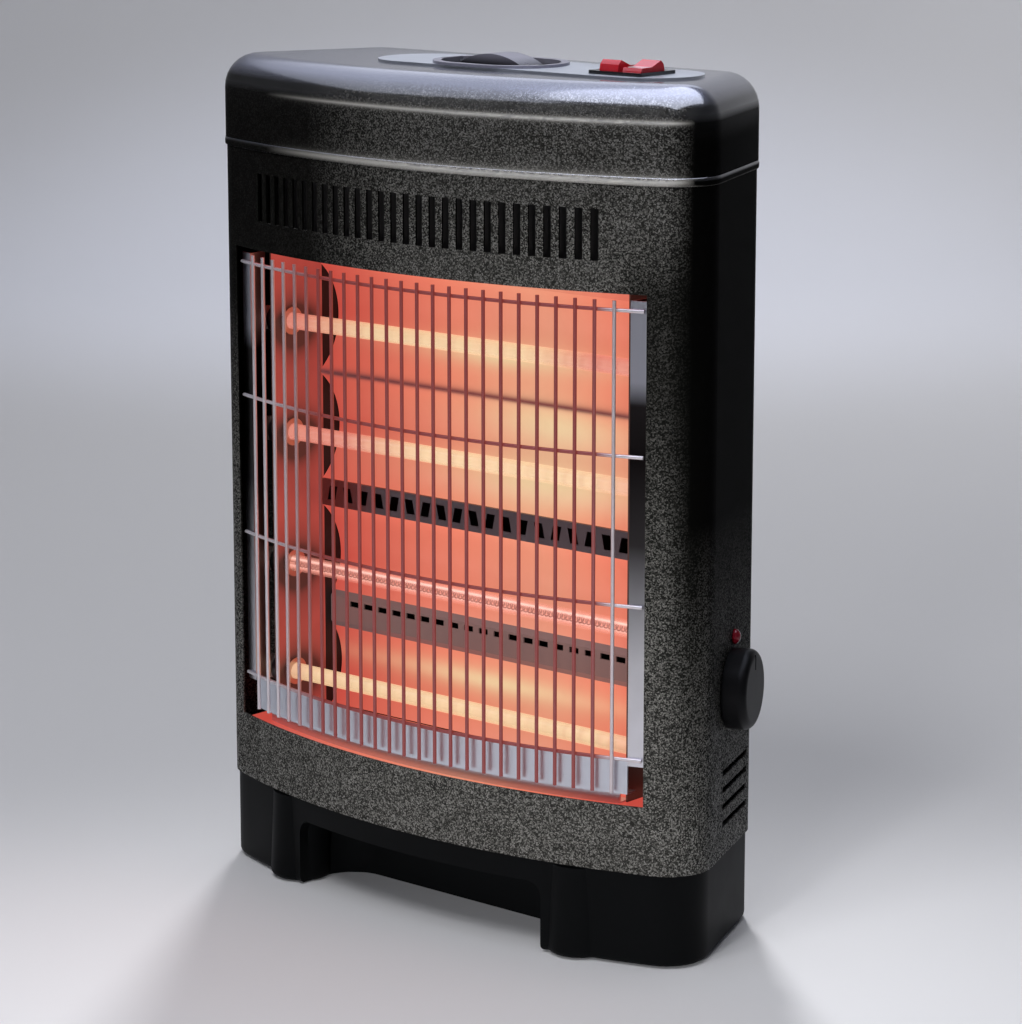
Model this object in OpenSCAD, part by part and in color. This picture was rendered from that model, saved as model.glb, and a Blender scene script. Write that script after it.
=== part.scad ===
// Halogen heater. A bowed steel case stands on a black moulded base and holds
// four quartz tubes in polished reflectors, behind a chromed wire guard.
// Millimetres. The front faces -Y, X runs to the right of someone who looks
// at the front, and Z is up. The origin is on the floor under the middle of
// the case.

/* [Case] */
// Width across the front corners, before they are rounded
case_w = 382; // [374:1:396]
// Depth from the middle of the front to the back
case_d = 149; // [146:1:165]
// How far the front bows out between its corners
case_bow = 39; // [36:1:41]
// Angle at which the side walls close in towards the back, degrees
side_taper = 22; // [20:0.5:23]
// Radius of the two upright front corners
front_corner_r = 27; // [23:0.5:30]
// Radius of the two upright back corners
back_corner_r = 24; // [21.5:0.5:26]
// Thickness of the sheet steel
sheet = 1.2; // [1:0.1:1.5]

/* [Base] */
// Height of the black base
base_h = 55.5; // [52:0.5:64]
// How far the base stands inside the case's outline
base_inset = 1.5; // [0.8:0.1:3]
// Wall of the base moulding
base_wall = 3; // [2.5:0.1:3.5]
// Radius of the base's lower edge
edge_r = 4; // [2:0.5:5]
// Radius of a front leg
leg_r = 18.5; // [16.5:0.5:20]
// Distance from the middle of the heater to the middle of a front leg
leg_x = 112.5; // [108:0.5:117]
// How far a front leg stands out from the case's front, at the floor
leg_proud = 4.5; // [3:0.5:6]
// Angle at which a front leg leans back, degrees
leg_lean = 3; // [1:0.5:4]
// Radius of a front leg's lower edge
leg_edge = 4; // [2:0.5:5]
// How far a front leg stops below the top of the base
leg_drop = 1; // [0.8:0.1:4]
// Height of the recess between the legs
recess_h = 42; // [36:1:44]
// Depth of that recess, from the front
recess_d = 56; // [48:0.5:58]
// Radius of the recess's two upright corners
recess_r = 24; // [16:1:26]
// Radius of the recess's two upper corners
recess_top_r = 9; // [5:0.5:12]
// Diameter of a rear rubber foot
foot_d = 22; // [18:1:26]
// How far a rubber foot stands out below the base
foot_proud = 0.8; // [0.6:0.1:2]

/* [Window] */
// Height of the window's lower edge above the base
window_rise = 40; // [36:1:48]
// Height of the window
window_h = 293; // [290:1:306]
// Distance from a front corner to the side of the window
window_border = 31; // [29:1:33]

/* [Vent slots] */
// Number of slots above the window
vent_count = 28; // [20:1:28]
// Distance from one slot to the next, along the front
vent_pitch = 9.75; // [8.5:0.05:9.8]
// Width of a slot
vent_w = 4.9; // [3.5:0.1:5.5]
// Height of a slot
vent_h = 29; // [24:1:32]
// Distance from the window up to the slots
vent_gap = 17.5; // [14:0.5:22]
// Distance from the slots up to the lid
vent_head = 13.5; // [12:0.5:18]

/* [Lid] */
// Height of the lid, seam to top
lid_h = 55; // [52:1:62]
// Radius of the lid's top edge
lid_round = 20; // [16:0.5:20]
// How far the lid stands out beyond the case
lid_proud = 0.8; // [0.6:0.1:1.6]
// Wall of the lid
lid_wall = 2; // [1.6:0.1:2.5]
// Height of the rolled rib round the lid's lower edge
rib_h = 4.6; // [3.5:0.1:6]
// How far that rib stands out from the lid
rib_proud = 0.5; // [0.4:0.1:1.6]

/* [Control panel] */
// Length of the silver panel
panel_l = 228; // [222:1:236]
// Depth of the silver panel, front to back
panel_d = 62; // [60:1:68]
// Thickness of the silver panel
panel_t = 1.4; // [1:0.1:2]
// How far the panel's middle lies to the right of the heater's middle
panel_x = 38; // [35:1:40]
// How far the panel's middle lies behind the heater's middle
panel_y = 2; // [0:0.5:4]

/* [Handle] */
// Distance of the handle's middle from the heater's middle
handle_x = 12; // [8:1:14]
// Outer radius of the handle's bowl
bowl_r = 28.5; // [27:0.5:29]
// Half the distance between the bowl's two round ends
bowl_half = 11; // [9:1:12]
// Depth of the bowl
bowl_depth = 26; // [24:1:30]
// Wall of the bowl
bowl_wall = 2; // [1.6:0.1:2.4]
// Width of the grip, front to back
grip_w = 19; // [16:1:21]
// Thickness of the grip
grip_t = 7; // [6:0.5:8]
// How far the grip rises above the lid
grip_rise = 6; // [4:0.5:9]

/* [Switches] */
// Distance of the switches' middle from the heater's middle
switch_x = 113; // [111:1:115]
// How far the switches' middle lies behind the heater's middle
switch_y = -4; // [-6:0.5:0]
// Distance between the two switches
switch_pitch = 17.6; // [17.4:0.1:18.4]
// Width of a rocker
rocker_w = 13.4; // [12.5:0.1:13.5]
// Length of a rocker
rocker_l = 21; // [19:0.5:22]
// Angle that a rocker leans to either side, degrees
rocker_lean = 12; // [9:0.5:13]
// Height of the black frame round the rockers
frame_h = 2; // [1.5:0.1:3]

/* [Thermostat] */
// Height of the knob's middle above the base
knob_rise = 98; // [92:1:104]
// Distance of the knob's middle from the case's back, along Y
knob_back = 52; // [50:0.5:55]
// Diameter of the knob
knob_d = 47; // [42:1:50]
// Thickness of the knob
knob_t = 14; // [12:0.5:17]
// Diameter of the thermostat's shaft
shaft_d = 6; // [5:0.5:7]
// Diameter of the pilot lamp's lens
lamp_d = 9; // [7:0.5:10]
// Height of the pilot lamp above the knob's middle
lamp_rise = 29; // [28.5:0.5:34]

/* [Side slots] */
// Number of slots in each side wall
side_slots = 4; // [3:1:4]
// Distance from one side slot to the next
side_slot_pitch = 10.2; // [9:0.1:11]
// Height of a side slot
side_slot_h = 3.6; // [3:0.1:4.5]
// Length of a side slot along the wall
side_slot_l = 51; // [44:1:52]
// Height of the lowest side slot above the base
side_slot_rise = 19.5; // [16:0.5:22]

/* [Tubes] */
// Outer diameter of a quartz tube
tube_d = 10; // [9:0.5:11]
// Wall of a quartz tube
tube_wall = 1; // [0.8:0.1:1.2]
// Distance from the case's front back to the tubes, along Y
tube_back = 52.5; // [52:0.5:54]
// Height of the lowest tube above the window's lower edge
tube_rise = 25.5; // [24:0.5:28]
// Distance between the two tubes of a pair
tube_pitch = 69; // [66:0.5:70]
// Distance between the upper tube of one pair and the lower tube of the other
pair_gap = 82.5; // [82:0.5:86]
// Distance from a front corner to a tube chamber's end plate
chamber_border = 51; // [50:0.5:52]
// Pitch of the heating coil
coil_pitch = 5; // [4:0.5:8]

/* [Reflectors] */
// Inner radius of a reflector's trough, about its tube
trough_r = 42; // [41:0.5:42.5]
// Thickness of the reflector sheet
reflector_t = 1; // [0.8:0.1:1.2]
// Height of the flat strip between the two lower troughs
strip_h = 16; // [12:0.5:18]
// Height of the bar between the two reflectors
bar_h = 17; // [15:0.5:18]
// Distance between the holes in that bar
bar_hole_pitch = 13; // [12:0.5:16]

/* [Guard] */
// Diameter of the guard's wires
wire_d = 2.2; // [1.8:0.1:2.6]
// Distance from one upright wire to the next, along the bow
wire_pitch = 11.95; // [11.6:0.05:12]
// Number of upright wires on each side of the middle one, as far as the window has room
wire_side = 12; // [10:1:12]
// Height of the lowest cross wire above the window's lower edge
guard_rise = 26.5; // [25:0.5:30]
// Distance from the window's top edge down to the highest cross wire
guard_head = 9.5; // [8:0.5:14]
// How much higher the two middle cross wires sit than an even spacing
guard_lift = 3.5; // [0:0.5:5]
// Width of the bright channel at each side of the guard
channel_w = 10; // [9:0.5:11]
// Height of the bright sill below the guard
sill_h = 21; // [18:0.5:22]
// Height of the sill's lower edge above the window's lower edge
sill_rise = 5.5; // [5:0.5:8]

/* [Clearances] */
// Gap between two pieces that are fastened to each other
fit_gap = 0.2; // [0.1:0.05:0.3]
// Gap between two pieces that move past each other
move_gap = 0.5; // [0.4:0.05:0.7]
// Radial play of a shaft or pin in its hole
shaft_play = 0.05; // [0.03:0.01:0.08]

/* [Hidden] */

$fn = 64;
eps = 0.02;                 // overlap that makes a cut clean
corner_lap = 0.002;         // overlap that joins a corner's arc to its neighbours

// Places along Y and Z
front_y = -case_d / 2;
back_y = case_d / 2;
corner_y = front_y + case_bow;
window_z0 = base_h + window_rise;
window_z1 = window_z0 + window_h;
window_w = case_w - 2 * window_border;
vent_z0 = window_z1 + vent_gap;
seam_z = vent_z0 + vent_h + vent_head;
case_h = seam_z + lid_h;
tube_y = front_y + tube_back;
tube_z = [window_z0 + tube_rise + 2 * tube_pitch + pair_gap,
          window_z0 + tube_rise + tube_pitch + pair_gap,
          window_z0 + tube_rise + tube_pitch,
          window_z0 + tube_rise];
chamber_half = case_w / 2 - chamber_border;

// The case's outline, seen from above. The front is an arc about bow_cy. The
// upright corners are arcs about front_c and back_c.
bow_r = (pow(case_w / 2, 2) + pow(case_bow, 2)) / (2 * case_bow);
bow_cy = front_y + bow_r;
side_n = [cos(side_taper), sin(side_taper)];
side_dir = [-sin(side_taper), cos(side_taper)];
corner = [case_w / 2, corner_y];
corner_q = corner - front_corner_r * side_n - [0, bow_cy];
corner_b = corner_q * side_dir;
corner_s = -corner_b - sqrt(pow(corner_b, 2) - corner_q * corner_q
                            + pow(bow_r - front_corner_r, 2));
front_c = corner - front_corner_r * side_n + corner_s * side_dir;
front_u = (front_c - [0, bow_cy]) / norm(front_c - [0, bow_cy]);
back_cy = back_y - back_corner_r;
back_c = [corner[0] - (back_corner_r + side_n[1] * (back_cy - corner_y)) / side_n[0],
          back_cy];

// x of the side wall's outer face at a given y, and y of the front's outer
// face at a given x, both for the outline drawn in by inset
function side_x(y, inset = 0) =
    corner[0] - (inset + side_n[1] * (y - corner_y)) / side_n[0];
function bow_y(x, inset = 0) = bow_cy - sqrt(pow(bow_r - inset, 2) - x * x);
// Angle about the bow's centre for a length along the front
function bow_angle(along) = along / bow_r * 180 / PI;

// Outline of the case from above, drawn in by inset
module plan(inset = 0) {
    reach = (bow_r + 10) / -front_u[1];
    far = [front_u[0] * reach, bow_cy + front_u[1] * reach];
    t2 = front_c + (front_corner_r - inset) * side_n;
    t3 = back_c + (back_corner_r - inset) * side_n;
    t4 = [back_c[0], back_y - inset];
    half = [front_c, far];
    rear = [t4, back_c, t3, t2];
    intersection() {
        translate([0, bow_cy]) circle(r = bow_r - inset, $fn = 360);
        polygon(concat(half, [for (i = [1, 0]) [-half[i][0], half[i][1]]],
                       [for (i = [3, 2, 1, 0]) [-rear[i][0], rear[i][1]]], rear));
    }
    for (s = [-1, 1]) {
        translate([s * front_c[0], front_c[1]]) circle(r = front_corner_r - inset + corner_lap);
        translate([s * back_c[0], back_c[1]]) circle(r = back_corner_r - inset + corner_lap);
    }
}

// A ring of the case's outline, from inset a in to inset b
module plan_ring(a, b) {
    difference() {
        plan(a);
        plan(b);
    }
}

// Points round the same outline, in order, for the lid's rounded edge
front_half = atan2(front_u[0], -front_u[1]);
front_steps = 20;
corner_steps = 9;
function arc_points(c, r, a0, a1, first, n) =
    [for (i = [first : n]) let (a = a0 + (a1 - a0) * i / n) [c[0] + r * cos(a), c[1] + r * sin(a)]];
function right_points(inset) = concat(
    arc_points([0, bow_cy], bow_r - inset, -90, front_half - 90, 0, front_steps),
    arc_points(front_c, front_corner_r - inset, front_half - 90, side_taper, 1, corner_steps),
    arc_points(back_c, back_corner_r - inset, side_taper, 90, 0, corner_steps));
function outline_points(inset) = let (right = right_points(inset))
    concat(right, [for (i = [len(right) - 1 : -1 : 1]) [-right[i][0], right[i][1]]]);

// A solid through rings of points, each ring [inset, z], from the lowest up
module lofted(rings) {
    n = len(outline_points(0));
    points = [for (ring = rings, p = outline_points(ring[0])) [p[0], p[1], ring[1]]];
    walls = [for (k = [0 : len(rings) - 2], i = [0 : n - 1])
        let (j = (i + 1) % n) each [[k * n + i, k * n + n + i, k * n + n + j],
                                    [k * n + i, k * n + n + j, k * n + j]]];
    polyhedron(points = points, faces = concat([[for (i = [0 : n - 1]) i]], walls,
        [[for (i = [n - 1 : -1 : 0]) (len(rings) - 1) * n + i]]));
}

// A box given by its lowest corner and its highest corner
module span(low, high) {
    translate(low) cube(high - low);
}

module rounded_rect(w, d, r) {
    square([w - 2 * r, d], center = true);
    square([w, d - 2 * r], center = true);
    for (x = [-1, 1], y = [-1, 1])
        translate([x * (w / 2 - r), y * (d / 2 - r)]) circle(r = r);
}

// Puts children on both sides of the middle
module both_sides() {
    for (s = [0, 1]) mirror([s, 0, 0]) children();
}

// Puts children at a length along the front, facing outward along -Y, at the
// bow's radius less inset
module on_bow(along, inset = 0) {
    translate([0, bow_cy, 0]) rotate([0, 0, bow_angle(along)])
        translate([0, -(bow_r - inset), 0]) children();
}

// Puts children on the right side wall at y and z, with +Z pointing out of it
module on_side(y, z, inset = 0) {
    translate([side_x(y), y, z]) rotate([0, 90, side_taper]) translate([0, 0, -inset]) children();
}

// ---------------------------------------------------------------- base
base_top = base_h;
base_floor = foot_proud;
plate_under = base_top - base_wall;
skirt_wall = max(base_wall, edge_r + 1);    // so that the rounded edge keeps a wall
leg_reach = bow_r + leg_proud - leg_r;      // from the bow's centre to a leg's middle
leg_y = bow_cy - sqrt(pow(leg_reach, 2) - leg_x * leg_x);
leg_turn = asin(leg_x / leg_reach);
leg_bore_r = leg_r - leg_edge - 1;
leg_rib = 2.4;
pocket_h = base_h - leg_drop - base_wall;
foot_t = 3;
front_foot_r = leg_bore_r - 0.5;
rear_foot = [back_c[0] - 14, back_y - base_inset - skirt_wall - foot_d / 2 - 1.5];
recess_back = front_y + recess_d;
recess_half = leg_x - leg_r + 3;            // its sides end inside the legs
boss_at = [[leg_x - 2.5, 20], [54, back_y - 22]];
boss_r = 5;
boss_h = 8;
plunger_at = [0, 30];
screw_r = 2;
lip_h = 8;
lip_t = 2.4;
lip_inset = max(base_inset, sheet + fit_gap) + 0.3;
edge_steps = 4;

// Puts children at the right leg, along its leaning axis
module at_leg() {
    translate([leg_x, leg_y, 0]) rotate([0, 0, leg_turn]) rotate([-leg_lean, 0, 0]) children();
}

module leg_column() {
    intersection() {
        at_leg() rotate_extrude($fn = 96) {
            translate([0, leg_edge]) square([leg_r, base_h]);
            square([leg_r - leg_edge, base_h]);
            translate([leg_r - leg_edge, leg_edge]) circle(r = leg_edge);
        }
        span([leg_x - 2 * leg_r, leg_y - 2 * leg_r, base_floor],
             [leg_x + 2 * leg_r, leg_y + 2 * leg_r, base_top - leg_drop]);
    }
}

// The recess between the legs from above, drawn in by inset
module recess_outline(inset) {
    half = recess_half - inset;
    r = recess_r - inset;
    translate([-half, front_y - 10]) square([2 * half, recess_d + 10 - recess_r]);
    translate([-half + r, front_y - 10]) square([2 * (half - r), recess_d + 10 - inset]);
    for (s = [-1, 1]) translate([s * (half - r), recess_back - recess_r]) circle(r = r);
}

// The recess from the front: its upper corners are rounded
module recess_arch() {
    r = recess_top_r;
    translate([-recess_half, -1]) square([2 * recess_half, recess_h + 1 - r]);
    translate([-recess_half + r, -1]) square([2 * (recess_half - r), recess_h + 1]);
    for (s = [-1, 1]) translate([s * (recess_half - r), recess_h - r]) circle(r = r);
}

module base() {
    color([0.05, 0.055, 0.06]) difference() {
        union() {
            difference() {
                lofted(concat([for (i = [0 : edge_steps]) let (a = 90 * i / edge_steps)
                    [base_inset + edge_r * (1 - sin(a)), base_floor + edge_r * (1 - cos(a))]],
                    [[base_inset, base_top]]));
                translate([0, 0, base_floor - 1]) linear_extrude(plate_under - base_floor + 1)
                    difference() {
                        plan(base_inset + skirt_wall);
                        recess_outline(-base_wall);
                    }
                intersection() {
                    linear_extrude(base_top) recess_outline(0);
                    translate([0, back_y, 0]) rotate([90, 0, 0]) linear_extrude(2 * case_d) recess_arch();
                }
                // shallow arch in the back
                span([-60, back_y - 20, base_floor - 1], [60, back_y + 1, base_floor + 14]);
            }
            both_sides() leg_column();
            both_sides() translate([rear_foot[0], rear_foot[1], base_floor])
                cylinder(r = foot_d / 2 + 3, h = base_top - 1 - base_floor);
            both_sides() for (p = boss_at) translate([p[0], p[1], plate_under - boss_h])
                cylinder(r = boss_r, h = boss_h + 1);
            // lip that locates the case
            translate([0, 0, base_top - 1]) linear_extrude(lip_h + 1)
                plan_ring(lip_inset, lip_inset + lip_t);
        }
        // bores in the legs, open below, with ribs that rest on the rubber feet
        both_sides() difference() {
            at_leg() translate([0, 0, -1]) cylinder(r = leg_bore_r, h = pocket_h + 1);
            for (a = [0, 90]) translate([leg_x, leg_y, foot_t]) rotate([0, 0, a])
                translate([-leg_r, -leg_rib / 2, 0]) cube([2 * leg_r, leg_rib, base_h]);
        }
        // seats of the rear rubber feet
        both_sides() translate([rear_foot[0], rear_foot[1], base_floor - 1])
            cylinder(r = foot_d / 2 + fit_gap, h = foot_t - foot_proud + 1);
        // screw holes, and air holes in the top plate
        both_sides() for (p = boss_at) translate([p[0], p[1], 0]) {
            cylinder(r = screw_r + fit_gap, h = base_top + 1);
        }
        for (i = [-3:3]) if (i != 0)
            span([i * 11 - 3, -20, plate_under - 1], [i * 11 + 3, 5, base_top + 1]);
    }
}

module rubber_feet() {
    color([0.09, 0.09, 0.09]) both_sides() {
        translate([leg_x, leg_y, 0]) cylinder(r = front_foot_r, h = foot_t);
        translate([rear_foot[0], rear_foot[1], 0]) cylinder(r = foot_d / 2, h = foot_t);
    }
}

module base_screws() {
    color([0.6, 0.6, 0.62]) both_sides() for (p = boss_at)
        translate([p[0], p[1], plate_under - boss_h]) {
            translate([0, 0, -2.2]) difference() {
                cylinder(r = 3.8, h = 2.2);
                for (a = [0, 90]) rotate([0, 0, a]) translate([-2.4, -0.5, -1]) cube([4.8, 1, 2]);
            }
            // the shank ends flush with the top of the chassis plate
            translate([0, 0, -eps]) cylinder(r = screw_r, h = eps + plate_z + plate_t - plate_under + boss_h);
        }
}

plate_t = 1.5;
plate_z = base_top + fit_gap;
module chassis_plate() {
    color([0.62, 0.63, 0.64]) difference() {
        translate([0, 0, plate_z]) linear_extrude(plate_t) plan(lip_inset + lip_t + fit_gap);
        both_sides() for (p = boss_at) translate([p[0], p[1], plate_z - 1])
            cylinder(r = screw_r + fit_gap, h = plate_t + 2);
        for (i = [-3:3]) if (i != 0)
            span([i * 11 - 3, -20, plate_z - 1], [i * 11 + 3, 5, plate_z + plate_t + 1]);
    }
}

// ---------------------------------------------------------------- case
side_end = back_cy + back_corner_r * side_n[1];     // where the flat side wall ends
seam_y = side_end + 0.5;                    // where the back panel meets the front panel
tongue = 2.5;                               // how far the back panel reaches inside the front panel
side_slot_y = seam_y - tongue - 0.5 - side_slot_l / 2 * side_n[0];
knob_y = back_y - knob_back;
knob_z = base_h + knob_rise;
lamp_y = knob_y + 6;
lamp_z = knob_z + lamp_rise;
shaft_hole_r = shaft_d / 2 + 1;
case_z0 = base_top + 0.3;

module window_cut() {
    span([-window_w / 2, front_y - 5, window_z0], [window_w / 2, corner_y + 15, window_z1]);
}

module vent_slots() {
    for (i = [0 : vent_count - 1])
        on_bow((i - (vent_count - 1) / 2) * vent_pitch)
            span([-vent_w / 2, -3, vent_z0], [vent_w / 2, 3 + sheet, vent_z0 + vent_h]);
}

module side_slot_cuts() {
    both_sides() for (i = [0 : side_slots - 1])
        on_side(side_slot_y, base_h + side_slot_rise + i * side_slot_pitch)
            span([-side_slot_h / 2, -side_slot_l / 2, -sheet - 3], [side_slot_h / 2, side_slot_l / 2, 3]);
}

module front_panel() {
    color([0.2, 0.2, 0.19]) difference() {
        translate([0, 0, case_z0]) linear_extrude(seam_z - case_z0) plan_ring(0, sheet);
        window_cut();
        vent_slots();
        side_slot_cuts();
        on_side(knob_y, knob_z) translate([0, 0, -sheet - 3]) cylinder(r = shaft_hole_r, h = sheet + 6);
        on_side(lamp_y, lamp_z) translate([0, 0, -sheet - 3]) cylinder(r = lamp_d / 2 - 1, h = sheet + 6);
        span([-case_w, seam_y, case_z0 - 1], [case_w, back_y + 5, seam_z + 1]);
    }
}

// The back panel closes the case behind its seam. Its sides reach a little way
// inside the front panel, and its screws go into the lips of the heat shield.
louvre_w = 84;
louvre_h = 4;
louvre_pitch = 12;
louvre_x = 52;
gland_at = [-92, base_h + 34];
gland_r = 8;
pan_r = screw_r - 0.3;
back_screw_x = back_c[0] - 8;
back_screw_z = [base_h + 24, (base_h + seam_z) / 2, seam_z - 24];

module back_panel() {
    color([0.2, 0.2, 0.19]) difference() {
        union() {
            intersection() {
                translate([0, 0, case_z0]) linear_extrude(seam_z - case_z0) plan_ring(0, sheet);
                span([-case_w, seam_y + fit_gap, case_z0 - 1], [case_w, back_y + 5, seam_z + 1]);
            }
            intersection() {
                translate([0, 0, base_top + lip_h + 2]) linear_extrude(seam_z - base_top - 2 * lip_h - 4)
                    plan_ring(sheet - eps, 2 * sheet + fit_gap);
                span([-case_w, seam_y, 0], [case_w, seam_y + 6, seam_z]);
            }
            intersection() {
                translate([0, 0, base_top + lip_h + 2]) linear_extrude(seam_z - base_top - 2 * lip_h - 4)
                    plan_ring(sheet + fit_gap, 2 * sheet + fit_gap);
                span([-case_w, seam_y - tongue, 0], [case_w, seam_y + 6, seam_z]);
            }
        }
        for (s = [-1, 1], i = [0 : 9]) {
            z = seam_z - 40 - i * louvre_pitch;
            span([s * louvre_x - louvre_w / 2, back_y - 5, z - louvre_h / 2],
                 [s * louvre_x + louvre_w / 2, back_y + 5, z + louvre_h / 2]);
        }
        for (s = [-1, 1], i = [0 : 4]) {
            z = base_h + 66 + i * louvre_pitch;
            span([s * louvre_x - louvre_w / 2, back_y - 5, z - louvre_h / 2],
                 [s * louvre_x + louvre_w / 2, back_y + 5, z + louvre_h / 2]);
        }
        translate([gland_at[0], back_y + 5, gland_at[1]]) rotate([90, 0, 0])
            cylinder(r = gland_r + fit_gap, h = 10);
        both_sides() for (z = back_screw_z) translate([back_screw_x, back_y + 1, z]) rotate([90, 0, 0])
            cylinder(r = pan_r + fit_gap, h = 4);
    }
}

module pan_screw(length) {
    cylinder(r = pan_r, h = length);
    translate([0, 0, length - eps]) difference() {
        cylinder(r = 3.6, h = 2);
        for (a = [0, 90]) rotate([0, 0, a]) translate([-2.4, -0.5, 1]) cube([4.8, 1, 2]);
    }
}

module case_screws() {
    color([0.12, 0.12, 0.12]) both_sides() for (z = back_screw_z)
        translate([back_screw_x, back_y + eps, z]) rotate([-90, 0, 0]) translate([0, 0, -6])
            pan_screw(6);
}

// ---------------------------------------------------------------- lid
lid_z0 = seam_z + 0.3;
round_steps = 8;
rib_steps = 6;
panel_slot = [panel_l + 2 * fit_gap, panel_d + 2 * fit_gap];
bowl_hole_r = bowl_r + fit_gap;
frame_w = switch_pitch + rocker_w + 7;
frame_d = rocker_l + 12;
body_w = frame_w - 4;
body_d = frame_d - 4;

// The lid's outer form, drawn in by t, standing on z0
module lid_form(t, z0) {
    r = lid_round - t;
    lofted(concat([[t - lid_proud, z0]], [for (i = [0 : round_steps]) let (a = 90 * i / round_steps)
        [t - lid_proud + r * (1 - cos(a)), case_h - lid_round + r * sin(a)]]));
}

module stadium(r, half) {
    square([2 * half, 2 * r], center = true);
    for (s = [-1, 1]) translate([s * half, 0]) circle(r = r);
}

// Everything that passes down through the lid and the silver panel
module top_openings() {
    translate([handle_x, 0]) stadium(bowl_hole_r, bowl_half);
    translate([switch_x, switch_y]) square([body_w + 2 * fit_gap, body_d + 2 * fit_gap], center = true);
}

module lid() {
    color([0.19, 0.19, 0.19]) {
        difference() {
            union() {
                lid_form(0, lid_z0);
                // rolled rib round the lower edge
                lofted([for (i = [0 : rib_steps]) let (a = 180 * i / rib_steps - 90)
                        [-lid_proud - rib_proud * cos(a), lid_z0 + rib_h / 2 * (1 + sin(a))]]);
            }
            lid_form(lid_wall, lid_z0 - 1);
            translate([0, 0, case_h - 10]) linear_extrude(20) top_openings();
        }
    }
}

module panel_outline(inset) {
    translate([panel_x, panel_y]) stadium(panel_d / 2 - inset, (panel_l - panel_d) / 2);
}

module control_panel() {
    color([0.78, 0.79, 0.78]) translate([0, 0, case_h]) difference() {
        linear_extrude(panel_t) panel_outline(0);
        translate([0, 0, -1]) linear_extrude(panel_t + 2) top_openings();
    }
}

panel_z = case_h + panel_t;
rim = 3;
module handle_bowl() {
    color([0.1, 0.1, 0.11]) translate([handle_x, 0, 0]) difference() {
        union() {
            translate([0, 0, panel_z - bowl_depth]) linear_extrude(bowl_depth + 1) stadium(bowl_r, bowl_half);
            translate([0, 0, panel_z]) linear_extrude(1.6) stadium(bowl_r + rim, bowl_half);
        }
        translate([0, 0, panel_z - bowl_depth + bowl_wall]) linear_extrude(2 * bowl_depth)
            stadium(bowl_r - bowl_wall, bowl_half);
        // slots that take the ends of the grip
        span([-bowl_r - bowl_half + bowl_wall / 2, -grip_w / 2 - fit_gap, grip_foot_z],
             [bowl_r + bowl_half - bowl_wall / 2, grip_w / 2 + fit_gap, panel_z + bowl_depth]);
    }
}

// The grip is an arch across the bowl, let into its two ends
grip_let = 12;                              // how deep its feet sit in the bowl
grip_foot_z = panel_z - grip_let;
grip_span = bowl_r + bowl_half - bowl_wall / 2 - fit_gap;
grip_top = panel_z + grip_rise - grip_foot_z;
grip_arc_r = (pow(grip_span, 2) + pow(grip_top, 2)) / (2 * grip_top);
module handle_grip() {
    color([0.5, 0.52, 0.55]) translate([handle_x, 0, grip_foot_z]) intersection() {
        translate([0, grip_w / 2, grip_top - grip_arc_r]) rotate([90, 0, 0]) difference() {
            cylinder(r = grip_arc_r, h = grip_w, $fn = 180);
            translate([0, 0, -1]) cylinder(r = grip_arc_r - grip_t, h = grip_w + 2, $fn = 180);
        }
        span([-grip_span, -grip_w, 0.2], [grip_span, grip_w, grip_top + 1]);
    }
}

// ---------------------------------------------------------------- switches
pivot_z = panel_z + 1;
pin_r = 1.5;
pin_l = 1.1;
rocker_hole_w = rocker_w + 2 * move_gap;
rocker_r = rocker_l / 2 + 1.2;              // radius its ends sweep about the pins
body_h = 24;
lever_side = switch_pitch / 2;

module rocker_holes() {
    for (s = [-1, 1]) translate([s * lever_side, 0])
        square([rocker_hole_w, 2 * rocker_r + 2 * move_gap], center = true);
}

module switch_frame() {
    color([0.04, 0.04, 0.045]) translate([switch_x, switch_y, panel_z]) difference() {
        linear_extrude(frame_h) rounded_rect(frame_w, frame_d, 2);
        translate([0, 0, -1]) linear_extrude(frame_h + 2) rocker_holes();
    }
}

// One switch body: a box below the panel with a well for the rocker, and
// bearing holes for the rocker's pins in its two cheeks
module switch_body(x) {
    half = body_w / 4 - fit_gap / 2;
    mid = (x < 0 ? -1 : 1) * body_w / 4;
    color([0.07, 0.07, 0.07]) translate([switch_x, switch_y, 0]) difference() {
        union() {
            span([mid - half, -body_d / 2, panel_z - body_h], [mid + half, body_d / 2, panel_z]);
            for (y = [-7, 0, 7]) translate([mid - 0.4, y - 3.2, panel_z - body_h - 8]) cube([0.8, 6.4, 8 + eps]);
        }
        span([x - rocker_hole_w / 2, -rocker_r - move_gap, panel_z - 14],
             [x + rocker_hole_w / 2, rocker_r + move_gap, panel_z + 1]);
        translate([x - rocker_hole_w / 2 - pin_l + 0.1, 0, pivot_z - 3]) rotate([0, 90, 0])
            cylinder(r = pin_r + shaft_play, h = rocker_hole_w + 2 * pin_l - 0.2);
    }
}
module switch_left_body() { switch_body(-lever_side); }
module switch_right_body() { switch_body(lever_side); }

// A rocker is a shallow V on a drum about its pins. It leans by rocker_lean.
module rocker(x, lean) {
    top = 6.5;
    dip = 2;
    translate([switch_x + x, switch_y, pivot_z - 3]) rotate([lean, 0, 0]) rotate([90, 0, 90]) {
        translate([0, 0, -rocker_w / 2]) linear_extrude(rocker_w) intersection() {
            circle(r = rocker_r, $fn = 96);
            polygon([[-rocker_l / 2, -5], [rocker_l / 2, -5], [rocker_l / 2, top + dip], [0, top],
                     [-rocker_l / 2, top + dip]]);
        }
        translate([0, 0, -rocker_w / 2 - move_gap - pin_l + 0.4])
            cylinder(r = pin_r, h = rocker_w + 2 * move_gap + 2 * pin_l - 0.8);
    }
}
module rocker_left() { color([0.75, 0.03, 0.03]) rocker(-lever_side, -rocker_lean); }
module rocker_right() { color([0.75, 0.03, 0.03]) rocker(lever_side, rocker_lean); }

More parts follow.
